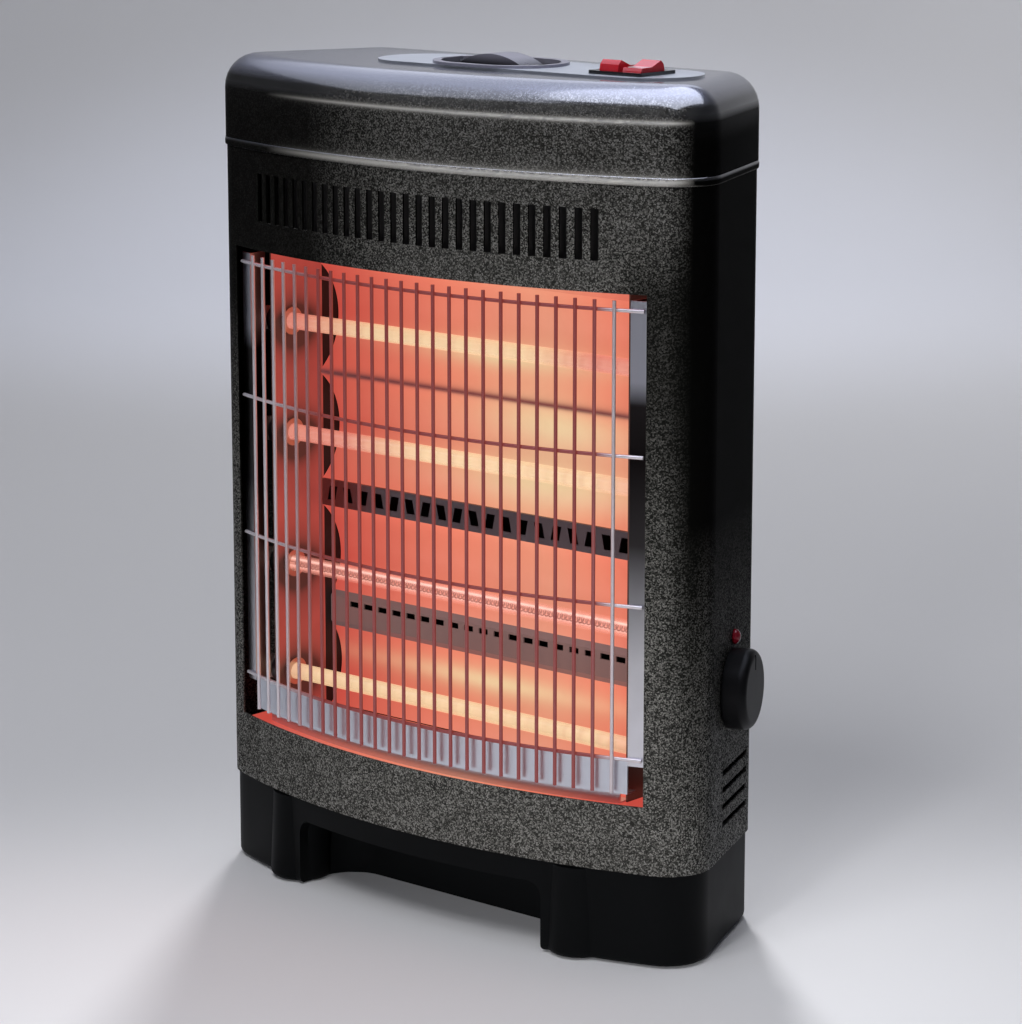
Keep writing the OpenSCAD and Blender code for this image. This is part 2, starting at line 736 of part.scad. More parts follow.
// ---------------------------------------------------------------- thermostat
stat_w = 26;
stat_t = 9;
nut_t = 2.5;
shaft_out = 12;
knob_gap = 1;

module thermostat_body() {
    color([0.85, 0.82, 0.75]) on_side(knob_y, knob_z, sheet + nut_t) difference() {
        translate([-stat_w / 2, -stat_w / 2, -stat_t]) cube([stat_w, stat_w, stat_t - eps]);
        translate([0, 0, -stat_t + 2]) cylinder(r = shaft_d / 2 + shaft_play, h = stat_t);
    }
}

module thermostat_nut() {
    color([0.7, 0.62, 0.35]) on_side(knob_y, knob_z, sheet + nut_t) difference() {
        cylinder(r = 7, h = nut_t - fit_gap / 2, $fn = 6);
        translate([0, 0, -1]) cylinder(r = shaft_d / 2 + shaft_play + 0.4, h = nut_t + 2);
    }
}

module thermostat_shaft() {
    color([0.75, 0.76, 0.77]) on_side(knob_y, knob_z, sheet + nut_t) {
        translate([0, 0, -stat_t + 2.5]) cylinder(r = shaft_d / 2, h = stat_t + sheet + nut_t + shaft_out - 2.5);
    }
}

module thermostat_knob() {
    r = knob_d / 2;
    edge = min(5, knob_t / 2 - 1);
    color([0.02, 0.02, 0.02]) on_side(knob_y, knob_z) translate([0, 0, knob_gap]) difference() {
        rotate_extrude($fn = 96) {
            square([r - edge, knob_t]);
            square([r, knob_t - edge]);
            translate([r - edge, knob_t - edge]) circle(r = edge);
        }
        translate([0, 0, -1]) cylinder(r = shaft_d / 2 + shaft_play, h = shaft_out - knob_gap + 1.2);
        // groove that points to the setting
        translate([-r + 3, -0.9, knob_t - 0.8]) cube([9, 1.8, 2]);
    }
}

module pilot_lens() {
    color([0.8, 0.02, 0.05]) on_side(lamp_y, lamp_z) {
        translate([0, 0, fit_gap]) intersection() {
            translate([0, 0, -1.2]) sphere(r = lamp_d / 2 + 0.6);
            cylinder(r = lamp_d / 2, h = lamp_d);
        }
        translate([0, 0, -sheet - 1]) cylinder(r = lamp_d / 2 - 1.2, h = sheet + 1.5);
    }
}

module pilot_body() {
    color([0.85, 0.85, 0.82]) on_side(lamp_y, lamp_z, sheet + 1.2)
        translate([0, 0, -8]) cylinder(r = lamp_d / 2 - 0.6, h = 8);
}

// ---------------------------------------------------------------- chamber
upright_w = 11.5;
upright_y = tube_y + 28.5;
upright_d = 20;
upright_z1 = seam_z - 14;
upright_t = 1.2;
ridge_y = function (dz) tube_y + sqrt(pow(trough_r, 2) - dz * dz);
roof_z = window_z1 + 2;
floor_z = window_z0 - 3.5;
reflector_half = chamber_half - 0.5;
bar_z0 = (tube_z[1] + tube_z[2] - bar_h) / 2;
strip_z0 = (tube_z[2] + tube_z[3] - strip_h) / 2;

// A channel-section upright stands on the chassis plate at each end
module upright() {
    color([0.07, 0.07, 0.07]) difference() {
        span([chamber_half, upright_y, plate_z + plate_t], [chamber_half + upright_w, upright_y + upright_d, upright_z1]);
        span([chamber_half + upright_t, upright_y + upright_t, plate_z + plate_t + upright_t],
             [chamber_half + upright_w + 1, upright_y + upright_d - upright_t, upright_z1 + 1]);
    }
}
module upright_left() { mirror([1, 0, 0]) upright(); }
module upright_right() { upright(); }

// The heat shield closes the chamber's back. Its flanges run to the back
// panel, which is screwed to their lips.
shield_y = upright_y + upright_d + fit_gap;
shield_t = 0.8;
shield_reach = 5;                           // how far the shield passes the chamber's ends
shield_hole = [14, 6, 22, 11];              // width, height, pitch and place above the roof
lip_w = 12;
lip_y = back_y - sheet - fit_gap - 0.1;
module heat_shield() {
    color([0.66, 0.67, 0.68]) difference() {
        translate([0, 0, plate_z + plate_t]) linear_extrude(upright_z1 - plate_z - plate_t) {
            translate([-chamber_half - shield_reach, shield_y])
                square([2 * (chamber_half + shield_reach), shield_t]);
            both_sides() {
                translate([back_screw_x + 4, shield_y]) square([shield_t, lip_y - shield_y]);
                translate([back_screw_x + 4 + shield_t - lip_w, lip_y - shield_t]) square([lip_w, shield_t]);
            }
        }
        for (i = [-5:5]) translate([i * shield_hole[2], shield_y, roof_z + shield_hole[3]])
            cube([shield_hole[0], 4 * shield_t, shield_hole[1]], center = true);
        // notch that clears the base's lip
        span([-case_w, lip_y - lip_t - 4, 0], [case_w, back_y, base_top + lip_h + 1]);
        both_sides() for (z = back_screw_z) translate([back_screw_x, back_y, z]) rotate([90, 0, 0])
            cylinder(r = pan_r + shaft_play, h = 6);
    }
}

// A trough of the reflector: an arc about the tube, cut off at heights z0, z1
module trough_profile(i, z0, z1) {
    intersection() {
        translate([tube_y, tube_z[i]]) difference() {
            circle(r = trough_r + reflector_t, $fn = 180);
            circle(r = trough_r, $fn = 180);
        }
        translate([tube_y, z0]) square([trough_r + 5, z1 - z0]);
    }
}

// Turns a (y, z) outline into a sheet across the chamber
module across(half) {
    translate([-half, 0, 0]) rotate([90, 0, 90]) linear_extrude(2 * half) children();
}

pair_mid = (tube_z[0] + tube_z[1]) / 2;
bar_y = tube_y + sqrt(pow(trough_r, 2) - pow(pair_gap / 2 - bar_h / 2, 2));
strip_y = tube_y + sqrt(pow(trough_r, 2) - pow(tube_pitch / 2 - strip_h / 2, 2));
low_cut = 27;
low_y = tube_y + sqrt(pow(trough_r, 2) - low_cut * low_cut);
top_cut = pair_gap / 2 - bar_h / 2;
top_y = tube_y + sqrt(pow(trough_r, 2) - top_cut * top_cut);

module reflector_upper() {
    color([0.95, 0.6, 0.4]) across(reflector_half) {
        trough_profile(0, pair_mid, tube_z[0] + top_cut);
        trough_profile(1, bar_z0 + bar_h, pair_mid);
        translate([top_y, tube_z[0] + top_cut - eps])
            square([reflector_t, roof_z - tube_z[0] - top_cut + eps]);
    }
}

module reflector_lower() {
    color([0.95, 0.6, 0.4]) difference() {
        across(reflector_half) {
            trough_profile(2, strip_z0 + strip_h, bar_z0);
            trough_profile(3, tube_z[3] - low_cut, strip_z0);
            translate([strip_y, strip_z0 - eps]) square([reflector_t, strip_h + 2 * eps]);
        }
        // row of air slots in the flat strip
        for (i = [-10:10]) span([i * wire_pitch - 3.6, strip_y - 2, strip_z0 + strip_h - 5],
                                [i * wire_pitch + 3.6, strip_y + 3, strip_z0 + strip_h - 1.5]);
    }
}

// Pressed bar between the two reflectors, with slanted holes in pairs
module centre_bar() {
    n = floor((reflector_half - 6) / bar_hole_pitch);
    color([0.6, 0.58, 0.58]) difference() {
        span([-reflector_half, bar_y - reflector_t - fit_gap, bar_z0 + fit_gap],
             [reflector_half, bar_y - fit_gap, bar_z0 + bar_h - fit_gap]);
        for (i = [-n : n])
            translate([i * bar_hole_pitch, bar_y + 1, bar_z0 + bar_h / 2]) rotate([90, 0, 0])
                linear_extrude(reflector_t + 3)
                    polygon([for (p = [[-4.2, -4.5], [2.2, -4.5], [4.2, 4.5], [-2.2, 4.5]])
                             [p[0] * (i % 2 == 0 ? 1 : -1), p[1]]]);
    }
}

// Plates that close the chamber above and below. They follow the bow.
module chamber_deck(z, y1) {
    inner = chamber_half - fit_gap;
    intersection() {
        translate([0, 0, z]) linear_extrude(reflector_t) plan(sheet + 0.6);
        union() {
            span([-window_w / 2 + 2, front_y, z - 1], [window_w / 2 - 2, upright_y - fit_gap, z + 3]);
            span([-inner, front_y, z - 1], [inner, y1, z + 3]);
        }
    }
}
module chamber_roof() { color([0.95, 0.6, 0.4]) chamber_deck(roof_z + fit_gap, top_y + reflector_t); }
module chamber_floor() {
    color([0.95, 0.6, 0.4]) chamber_deck(floor_z, low_y + reflector_t);
}

// Curved sheet that stands on the roof behind the vent slots, and turns the
// warm air out through them
baffle_inset = 16;
baffle_t = 0.8;
module vent_baffle() {
    color([0.05, 0.05, 0.05]) intersection() {
        translate([0, 0, roof_z + 2 * fit_gap + reflector_t])
            linear_extrude(seam_z - 3 - roof_z - reflector_t) plan_ring(baffle_inset, baffle_inset + baffle_t);
        span([-window_w / 2 + 4, front_y, 0], [window_w / 2 - 4, corner_y + 2 * baffle_inset, case_h]);
    }
}

plate_gap = 1;
end_y = upright_y - 0.6;
module end_plate() {
    color([0.9, 0.55, 0.4]) difference() {
        span([chamber_half, end_y_front, floor_z + reflector_t + fit_gap],
             [chamber_half + plate_gap, end_y, roof_z]);
        for (z = tube_z) translate([chamber_half - 1, tube_y, z]) rotate([0, 90, 0])
            cylinder(r = tube_d / 2 + 2, h = 4);
    }
}
end_y_front = bow_y(window_w / 2, sheet) + 8;
module end_plate_left() { mirror([1, 0, 0]) end_plate(); }
module end_plate_right() { end_plate(); }

// ---------------------------------------------------------------- tubes
tube_half = chamber_half + 12;
cap_r = tube_d / 2 + 2.5;
cap_in = 8;
cap_l = 16;
coil_r = 1.9;
coil_wire_r = 0.5;

module quartz_tube(i) {
    color([0.98, 0.75, 0.5, 0.6]) translate([-tube_half, tube_y, tube_z[i]]) rotate([0, 90, 0])
        difference() {
            cylinder(r = tube_d / 2, h = 2 * tube_half);
            translate([0, 0, -1]) cylinder(r = tube_d / 2 - tube_wall, h = 2 * tube_half + 2);
        }
}
module tube_1() { quartz_tube(0); }
module tube_2() { quartz_tube(1); }
module tube_3() { quartz_tube(2); }
module tube_4() { quartz_tube(3); }

// The heating element in each tube: a core with rings for its turns
module heating_coils() {
    n = floor((2 * tube_half - 30) / coil_pitch);
    color([1, 0.8, 0.4]) for (z = tube_z)
        translate([-tube_half + 4, tube_y, z]) rotate([0, 90, 0]) {
            translate([0, 0, -3.9]) cylinder(r = coil_wire_r, h = 2 * tube_half - 0.2, $fn = 16);
            for (i = [0 : n]) translate([0, 0, 11 + i * (2 * tube_half - 30) / n])
                translate([0, 0, -0.6]) cylinder(r = coil_r, h = 1.2, $fn = 16);
        }
}

// Bright rings round the tubes where they pass through the end plates
module tube_collars() {
    color([0.8, 0.78, 0.72]) both_sides() for (z = tube_z)
        translate([chamber_half, tube_y, z]) rotate([0, 90, 0]) translate([0, 0, -2]) difference() {
            union() {
                cylinder(r = tube_d / 2 + 3.5, h = 2);
                cylinder(r = tube_d / 2 + 2 - fit_gap, h = 2 + plate_gap);
            }
            translate([0, 0, -1]) cylinder(r = tube_d / 2 + 0.4, h = 6);
        }
}

module tube_caps() {
    color([0.93, 0.92, 0.88]) both_sides() for (z = tube_z)
        translate([tube_half - cap_in, tube_y, z]) rotate([0, 90, 0]) difference() {
            cylinder(r = cap_r, h = cap_l);
            translate([0, 0, -1]) cylinder(r = tube_d / 2 + fit_gap / 2, h = cap_in + 1 + fit_gap);
        }
}

// Spring clips hold the caps: a ring round each cap on a tongue from the end plate
clip_x = tube_half - cap_in + 3;
module tube_clips() {
    color([0.72, 0.73, 0.74]) both_sides() for (z = tube_z) difference() {
        union() {
            translate([clip_x, tube_y, z]) rotate([0, 90, 0]) cylinder(r = cap_r + 1.4, h = 5);
            span([chamber_half + plate_gap, tube_y + cap_r + 0.3, z - 3], [clip_x + 5, tube_y + cap_r + 1.3, z + 3]);
            span([chamber_half + plate_gap, tube_y + cap_r + 0.3, z - 3],
                 [chamber_half + plate_gap + 1, tube_y + cap_r + 9, z + 3]);
        }
        translate([clip_x - 1, tube_y, z]) rotate([0, 90, 0]) cylinder(r = cap_r + 0.1, h = 7);
    }
}

// ---------------------------------------------------------------- guard
wire_r = wire_d / 2;
guard_inset = 1.6 + wire_r;                 // wires lie just inside the case's front
channel_inset = guard_inset + wire_r;
channel_t = 1;
guard_span = window_z1 - guard_head - (window_z0 + guard_rise);
guard_z = [for (i = [0 : 3]) window_z0 + guard_rise + guard_span * i / 3
                             + ((i == 1 || i == 2) ? guard_lift : 0)];
guard_half = window_w / 2 - 3;              // reach of the cross wires
guard_turn = asin(guard_half / (bow_r - guard_inset));
guard_run = (bow_r - guard_inset) * guard_turn * PI / 180;
wires = min(wire_side, floor((guard_run - wire_d) / wire_pitch));
wire_z0 = window_z0 + sill_rise + 1;
wire_z1 = window_z1 - 4;

module wire_guard() {
    color([0.8, 0.8, 0.82]) union() {
        for (z = guard_z) translate([0, bow_cy, z]) rotate([0, 0, -90 - guard_turn])
            rotate_extrude(angle = 2 * guard_turn, $fn = 360)
                translate([bow_r - guard_inset, 0]) circle(r = wire_r, $fn = 16);
        for (i = [-wires : wires]) on_bow(i * wire_pitch, guard_inset - wire_r * 1.5)
            translate([0, 0, wire_z0]) cylinder(r = wire_r, h = wire_z1 - wire_z0, $fn = 16);
    }
}

// Bright channel at the side of the window: a face along the bow with a
// flange that turns back beside the chamber
channel_in = window_w / 2 - 1.5 - channel_w;
channel_z0 = window_z0 + sill_rise + sill_h - 4;
channel_z1 = window_z1 - 4;
module guard_channel() {
    color([0.82, 0.82, 0.84]) translate([0, 0, channel_z0]) linear_extrude(channel_z1 - channel_z0) {
        intersection() {
            plan_ring(channel_inset, channel_inset + channel_t);
            translate([channel_in, front_y]) square([channel_w, 2 * case_bow]);
        }
        translate([channel_in, bow_y(channel_in, channel_inset + channel_t / 2)])
            square([channel_t, end_y_front + 3 - bow_y(channel_in, channel_inset)]);
    }
}
module guard_channel_left() { mirror([1, 0, 0]) guard_channel(); }
module guard_channel_right() { guard_channel(); }

// Bright sill below the guard, with a foot that rests on the chamber floor
sill_half = channel_in - 0.5;
sill_z0 = window_z0 + sill_rise;
module guard_sill() {
    color([0.82, 0.83, 0.86]) intersection() {
        union() {
            translate([0, 0, sill_z0]) linear_extrude(sill_h)
                plan_ring(channel_inset + 0.6, channel_inset + 0.6 + channel_t);
            // foot and web, between the end plates
            translate([0, 0, floor_z + reflector_t + fit_gap]) intersection() {
                union() {
                    linear_extrude(channel_t) plan_ring(channel_inset + 0.6 + 6, channel_inset + 0.6 + 16);
                    linear_extrude(sill_z0 - floor_z - reflector_t - fit_gap + channel_t)
                        plan_ring(channel_inset + 0.6 + 6, channel_inset + 0.6 + 6 + channel_t);
                }
                span([-chamber_half + 0.5, front_y, -1], [chamber_half - 0.5, corner_y + 20, seam_z]);
            }
            translate([0, 0, sill_z0]) linear_extrude(channel_t)
                plan_ring(channel_inset + 0.6, channel_inset + 0.6 + 6 + channel_t);
        }
        span([-sill_half, front_y, 0], [sill_half, corner_y + 20, seam_z]);
    }
}

// ---------------------------------------------------------------- tip-over switch
plunger_r = 3;
plunger_travel = 6;
tip_body_z0 = plate_under - 22;
plunger_foot_r = 8;
plunger_z0 = 0.2;
plunger_foot_t = 4;
spring_r = 5.4;
spring_wire = 0.9;
spring_turns = 6;
spring_sides = 6;
spring_steps = 14;

module tip_switch_body() {
    color([0.86, 0.86, 0.83]) translate([plunger_at[0], plunger_at[1], 0]) difference() {
        span([-13, -8, tip_body_z0], [13, 8, plate_under - fit_gap]);
        translate([0, 0, tip_body_z0 - 1]) cylinder(r = plunger_r + shaft_play, h = 20);
    }
}

module tip_plunger() {
    color([0.9, 0.9, 0.88]) translate([plunger_at[0], plunger_at[1], plunger_z0]) {
        cylinder(r = plunger_foot_r, h = plunger_foot_t);
        cylinder(r = plunger_r, h = tip_body_z0 + 18 - plunger_z0);
    }
}

// Spring wire swept along a helix
function helix(t, r, z0, rise) =
    [r * cos(360 * t), r * sin(360 * t), z0 + rise * t];
module helix_tube(r, wire, turns, z0, z1) {
    n = turns * spring_steps;
    rise = (z1 - z0) / turns;
    ring = [for (i = [0 : n], j = [0 : spring_sides - 1])
        let (t = i / spring_steps, a = 360 * j / spring_sides, c = helix(t, r, z0, rise))
            c + wire / 2 * [cos(a) * cos(360 * t), cos(a) * sin(360 * t), sin(a)]];
    sides = [for (i = [0 : n - 1], j = [0 : spring_sides - 1], k = [0, 1])
        let (a = i * spring_sides + j, b = i * spring_sides + (j + 1) % spring_sides,
             c = a + spring_sides, d = b + spring_sides)
            k == 0 ? [a, b, c] : [b, d, c]];
    last = n * spring_sides;
    caps = [for (j = [1 : spring_sides - 2]) each [[0, j + 1, j], [last, last + j, last + j + 1]]];
    polyhedron(points = ring, faces = concat(sides, caps));
}

spring_z0 = plunger_z0 + plunger_foot_t + spring_wire / 2 + 0.05;
spring_z1 = tip_body_z0 - spring_wire / 2 - 0.1;
module tip_spring() {
    color([0.7, 0.7, 0.72]) translate([plunger_at[0], plunger_at[1], 0])
        helix_tube(spring_r, spring_wire, spring_turns, spring_z0, spring_z1);
}

// ---------------------------------------------------------------- electrics
module thermal_cutout() {
    color([0.8, 0.8, 0.78]) translate([0, shield_y + shield_t + fit_gap / 2, roof_z - 40]) rotate([-90, 0, 0]) {
        cylinder(r = 8, h = 5);
        span([-12, -3, 0], [12, 3, 0.8]);
        for (s = [-1, 1]) span([s * 5 - 2, -0.4, 4.9], [s * 5 + 2, 0.4, 12]);
    }
}

block_at = [40, shield_y + 9];
block_size = [44, 14, 16];
module terminal_block() {
    color([0.9, 0.88, 0.8]) translate([block_at[0], block_at[1], plate_z + plate_t]) difference() {
        translate([-block_size[0] / 2, -block_size[1] / 2, 0]) cube(block_size);
        for (i = [-1.5 : 1.5]) {
            translate([i * 10, 0, 6]) cylinder(r = 2.2, h = 12);
            translate([i * 10, -8, 5]) rotate([-90, 0, 0]) cylinder(r = 1.6, h = 16);
        }
    }
}

// Sleeved leads from the terminal block up to the switches
loom_r = 3.2;
loom_y = block_at[1] - 1;
loom_x = block_at[0] + block_size[0] / 2 + loom_r + 0.3;
loom_bend = 12;
loom_run = 26;                              // length that runs towards the switches
loom_drop = 14;                             // how far it turns below the switches
loom_top = case_h - body_h - loom_drop;
module wiring_loom() {
    color([0.75, 0.74, 0.7]) {
        translate([loom_x, loom_y, plate_z + plate_t + loom_r])
            cylinder(r = loom_r, h = loom_top - plate_z - plate_t - loom_r);
        translate([loom_x + loom_bend, loom_y, loom_top]) rotate([90, 0, 0]) rotate([0, 0, 90])
            rotate_extrude(angle = 90, $fn = 64) translate([loom_bend, 0]) circle(r = loom_r, $fn = 24);
        translate([loom_x + loom_bend, loom_y, loom_top + loom_bend]) rotate([0, 90, 0])
            cylinder(r = loom_r, h = loom_run);
    }
}

gland_l = 18;
gland_bore_r = 3.6;
module cord_gland() {
    color([0.05, 0.05, 0.05]) translate([gland_at[0], back_y, gland_at[1]]) rotate([-90, 0, 0]) difference() {
        union() {
            cylinder(r = gland_r + 3, h = 3);
            translate([0, 0, -5]) cylinder(r = gland_r, h = 5 + eps);
            translate([0, 0, -5 - 2.4]) cylinder(r = gland_r + 1.4, h = 2.4);
            translate([0, 0, 3 - eps]) cylinder(r = gland_r - 2, h = gland_l - 10.4 + eps);
        }
        translate([0, 0, -10]) cylinder(r = gland_bore_r, h = 2 * gland_l);
    }
}

base();
rubber_feet();
base_screws();
chassis_plate();
front_panel();
back_panel();
case_screws();
lid();
control_panel();
handle_bowl();
handle_grip();
switch_frame();
switch_left_body();
switch_right_body();
rocker_left();
rocker_right();
thermostat_knob();
thermostat_shaft();
thermostat_body();
thermostat_nut();
pilot_lens();
pilot_body();
upright_left();
upright_right();
heat_shield();
reflector_upper();
reflector_lower();
centre_bar();
chamber_roof();
chamber_floor();
vent_baffle();
end_plate_left();
end_plate_right();
tube_1();
tube_2();
tube_3();
tube_4();
heating_coils();
tube_collars();
tube_caps();
tube_clips();
wire_guard();
guard_channel_left();
guard_channel_right();
guard_sill();
tip_switch_body();
tip_plunger();
tip_spring();
thermal_cutout();
terminal_block();
wiring_loom();
cord_gland();
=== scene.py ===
"""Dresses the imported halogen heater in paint, bright metal and glowing tubes, and sets up a plain pale studio."""

import math

import bmesh
import bpy
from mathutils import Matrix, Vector


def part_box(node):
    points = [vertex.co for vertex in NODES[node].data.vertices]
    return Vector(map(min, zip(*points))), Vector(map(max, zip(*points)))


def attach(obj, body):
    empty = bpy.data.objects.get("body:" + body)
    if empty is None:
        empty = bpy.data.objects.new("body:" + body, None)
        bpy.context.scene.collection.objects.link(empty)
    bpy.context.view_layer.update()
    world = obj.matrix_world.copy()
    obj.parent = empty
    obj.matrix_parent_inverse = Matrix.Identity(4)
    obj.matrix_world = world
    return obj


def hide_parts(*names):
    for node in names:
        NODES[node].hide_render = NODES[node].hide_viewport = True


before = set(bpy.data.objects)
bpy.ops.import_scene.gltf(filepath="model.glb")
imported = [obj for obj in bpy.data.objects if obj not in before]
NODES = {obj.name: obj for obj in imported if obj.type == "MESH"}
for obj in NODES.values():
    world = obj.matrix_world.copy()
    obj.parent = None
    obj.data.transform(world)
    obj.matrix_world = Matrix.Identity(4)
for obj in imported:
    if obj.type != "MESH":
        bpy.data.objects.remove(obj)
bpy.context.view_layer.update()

bl_info = {
    "name": "Halogen heater",
    "version": (1, 1, 0),
    "blender": (4, 5, 0),
    "location": "3D View > Sidebar > Heater",
    "description": "Finishes for the heater's pieces, and a studio to show it in",
    "category": "Object",
}

TUBES = ("tube_1", "tube_2", "tube_3", "tube_4")
COLD_TUBE = "tube_3"
SMOOTH_ANGLE = 30  # degrees: an edge that turns further stays sharp
MIX_FACTOR, MIX_FIRST, MIX_SECOND, MIX_RESULT = 0, 6, 7, 2  # a Mix node's sockets for colours

PAINT_ROUGHNESS = 0.46
PLASTIC_GRAIN = 0.0006
PLASTIC_RELIEF = 0.12
BUMP_DEPTH = 0.0001
# painted highlight along the lid's lines
HIGHLIGHT_TONE = (0.90, 0.88, 0.82)
# painted shade in the handle's hollows
DEEP_SHADE = (0.010, 0.010, 0.013)
# painted shade on the glowing sheet: along the crease between the upper troughs, and on the strip between the lower
# tubes
RIDGE_SHADE = (0.10, 0.035, 0.04)
STRIP_SHADE = (0.10, 0.070, 0.072)


def low_corner(node):
    """A node's lowest corner at rest."""
    return Vector(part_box(node)[0])


def high_corner(node):
    """A node's highest corner at rest."""
    return Vector(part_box(node)[1])


def middle(node):
    """The middle of a node's box at rest."""
    return (low_corner(node) + high_corner(node)) / 2


def colour_property(title, description, default):
    """A colour that a user may change."""
    return bpy.props.FloatVectorProperty(name=title, description=description, subtype="COLOR",
                                         size=3, min=0, max=1, default=default)


def length_property(title, description, default, low, high):
    """A length that a user may change, between its limits."""
    return bpy.props.FloatProperty(name=title, description=description, subtype="DISTANCE",
                                   unit="LENGTH", default=default, min=low, max=high)


# ------------------------------------------------------------------ settings
class HeaterPaint(bpy.types.PropertyGroup):
    """The hammered paint of the case and the lid."""

    dark: colour_property("Ground", "Ground colour of the paint", (0.013, 0.013, 0.012))
    light: colour_property("Flecks", "Colour of the paint's pale flecks", (0.25, 0.245, 0.23))
    # painted sheen: the bluish reflection of the studio on the lid's top, painted into its colour over real gloss
    sheen: colour_property("Sheen", "Colour of the glossy paint on top of the lid", (0.17, 0.18, 0.24))
    grain: length_property("Grain", "Size of a fleck", 0.00075, 0.0003, 0.01)
    mottle: length_property("Mottle", "Size of the soft cloud in the paint", 0.012, 0.002, 0.1)


class HeaterGlow(bpy.types.PropertyGroup):
    """Light of the tubes, and the glow painted on the sheet round them."""

    ember: colour_property("Ember", "Light of the sheet where no lit tube is near", (0.58, 0.070, 0.052))
    salmon: colour_property("Salmon", "Light of the sheet along a lit tube", (0.78, 0.20, 0.125))
    peach: colour_property("Peach", "Light of the sheet near the hottest stretch", (0.76, 0.28, 0.175))
    # painted highlight beside the tubes
    amber: colour_property("Amber", "Light of the bright patches beside the tubes", (0.80, 0.60, 0.34))
    pink: colour_property("Pink", "Light of a lit tube's cooler end", (0.64, 0.20, 0.15))
    cream: colour_property("Cream", "Light of a lit tube's hot stretch", (0.78, 0.58, 0.33))
    filament: colour_property("Filament", "Light of the coil itself", (0.95, 0.80, 0.48))
    coil_pitch: length_property("Coil pitch", "Distance between two turns of the coil", 0.0032, 0.001, 0.01)
    coil_wire: length_property("Coil wire", "Thickness of the coil's wire", 0.0009, 0.0003, 0.002)


class HeaterStudio(bpy.types.PropertyGroup):
    """Camera, backdrop and lights."""

    camera_place: bpy.props.FloatVectorProperty(
        name="Camera", description="Where the camera stands",
        subtype="TRANSLATION", unit="LENGTH", size=3, default=(1.3941, -1.5794, 0.6776))
    camera_aim: bpy.props.FloatVectorProperty(
        name="Aim", description="Direction in which the camera looks",
        subtype="DIRECTION", size=3, default=(-0.64260, 0.73840, -0.20450))
    lens: bpy.props.FloatProperty(
        name="Lens", description="Focal length on a frame 36 mm tall",
        unit="CAMERA", min=20, max=300, default=126.76)
    paper: colour_property("Backdrop", "Colour of the floor and the backdrop", (0.74, 0.75, 0.79))
    floor_radius: length_property("Floor radius", "Radius of the floor's flat part", 2.6, 1, 10)
    bend_radius: length_property("Bend", "Radius in which the floor turns up", 1.6, 0.2, 5)
    wall_height: length_property("Wall", "Height of the backdrop", 4.0, 1, 10)


# ------------------------------------------------------------------ shader maths
class Value:
    """A node's output that takes part in Python arithmetic."""

    def __init__(self, tree, socket):
        self.tree = tree
        self.socket = socket

    def _math(self, operation, *inputs):
        """The result of one Math node."""
        node = self.tree.nodes.new("ShaderNodeMath")
        node.operation = operation
        for slot, item in zip(node.inputs, inputs):
            if isinstance(item, Value):
                self.tree.links.new(item.socket, slot)
            else:
                slot.default_value = item
        return Value(self.tree, node.outputs[0])

    def __add__(self, other):
        return self._math("ADD", self, other)

    __radd__ = __add__

    def __sub__(self, other):
        return self._math("SUBTRACT", self, other)

    def __rsub__(self, other):
        return self._math("SUBTRACT", other, self)

    def __mul__(self, other):
        return self._math("MULTIPLY", self, other)

    __rmul__ = __mul__

    def __truediv__(self, other):
        return self._math("DIVIDE", self, other)

    def __rtruediv__(self, other):
        return self._math("DIVIDE", other, self)

    def __gt__(self, other):
        return self._math("GREATER_THAN", self, other)

    def __lt__(self, other):
        return self._math("LESS_THAN", self, other)

    def clip(self):
        """The same value, held between 0 and 1."""
        return self._math("MINIMUM", self._math("MAXIMUM", self, 0.0), 1.0)

    def bell(self, centre, width):
        """1 at the centre, falling off smoothly over the width to each side."""
        away = (self - centre) / width
        spread = away * away + 1.0
        return 1.0 / (spread * spread)

    def rise(self, start, end):
        """0 up to the start, 1 from the end on, and a straight slope between them."""
        return ((self - start) / (end - start)).clip()


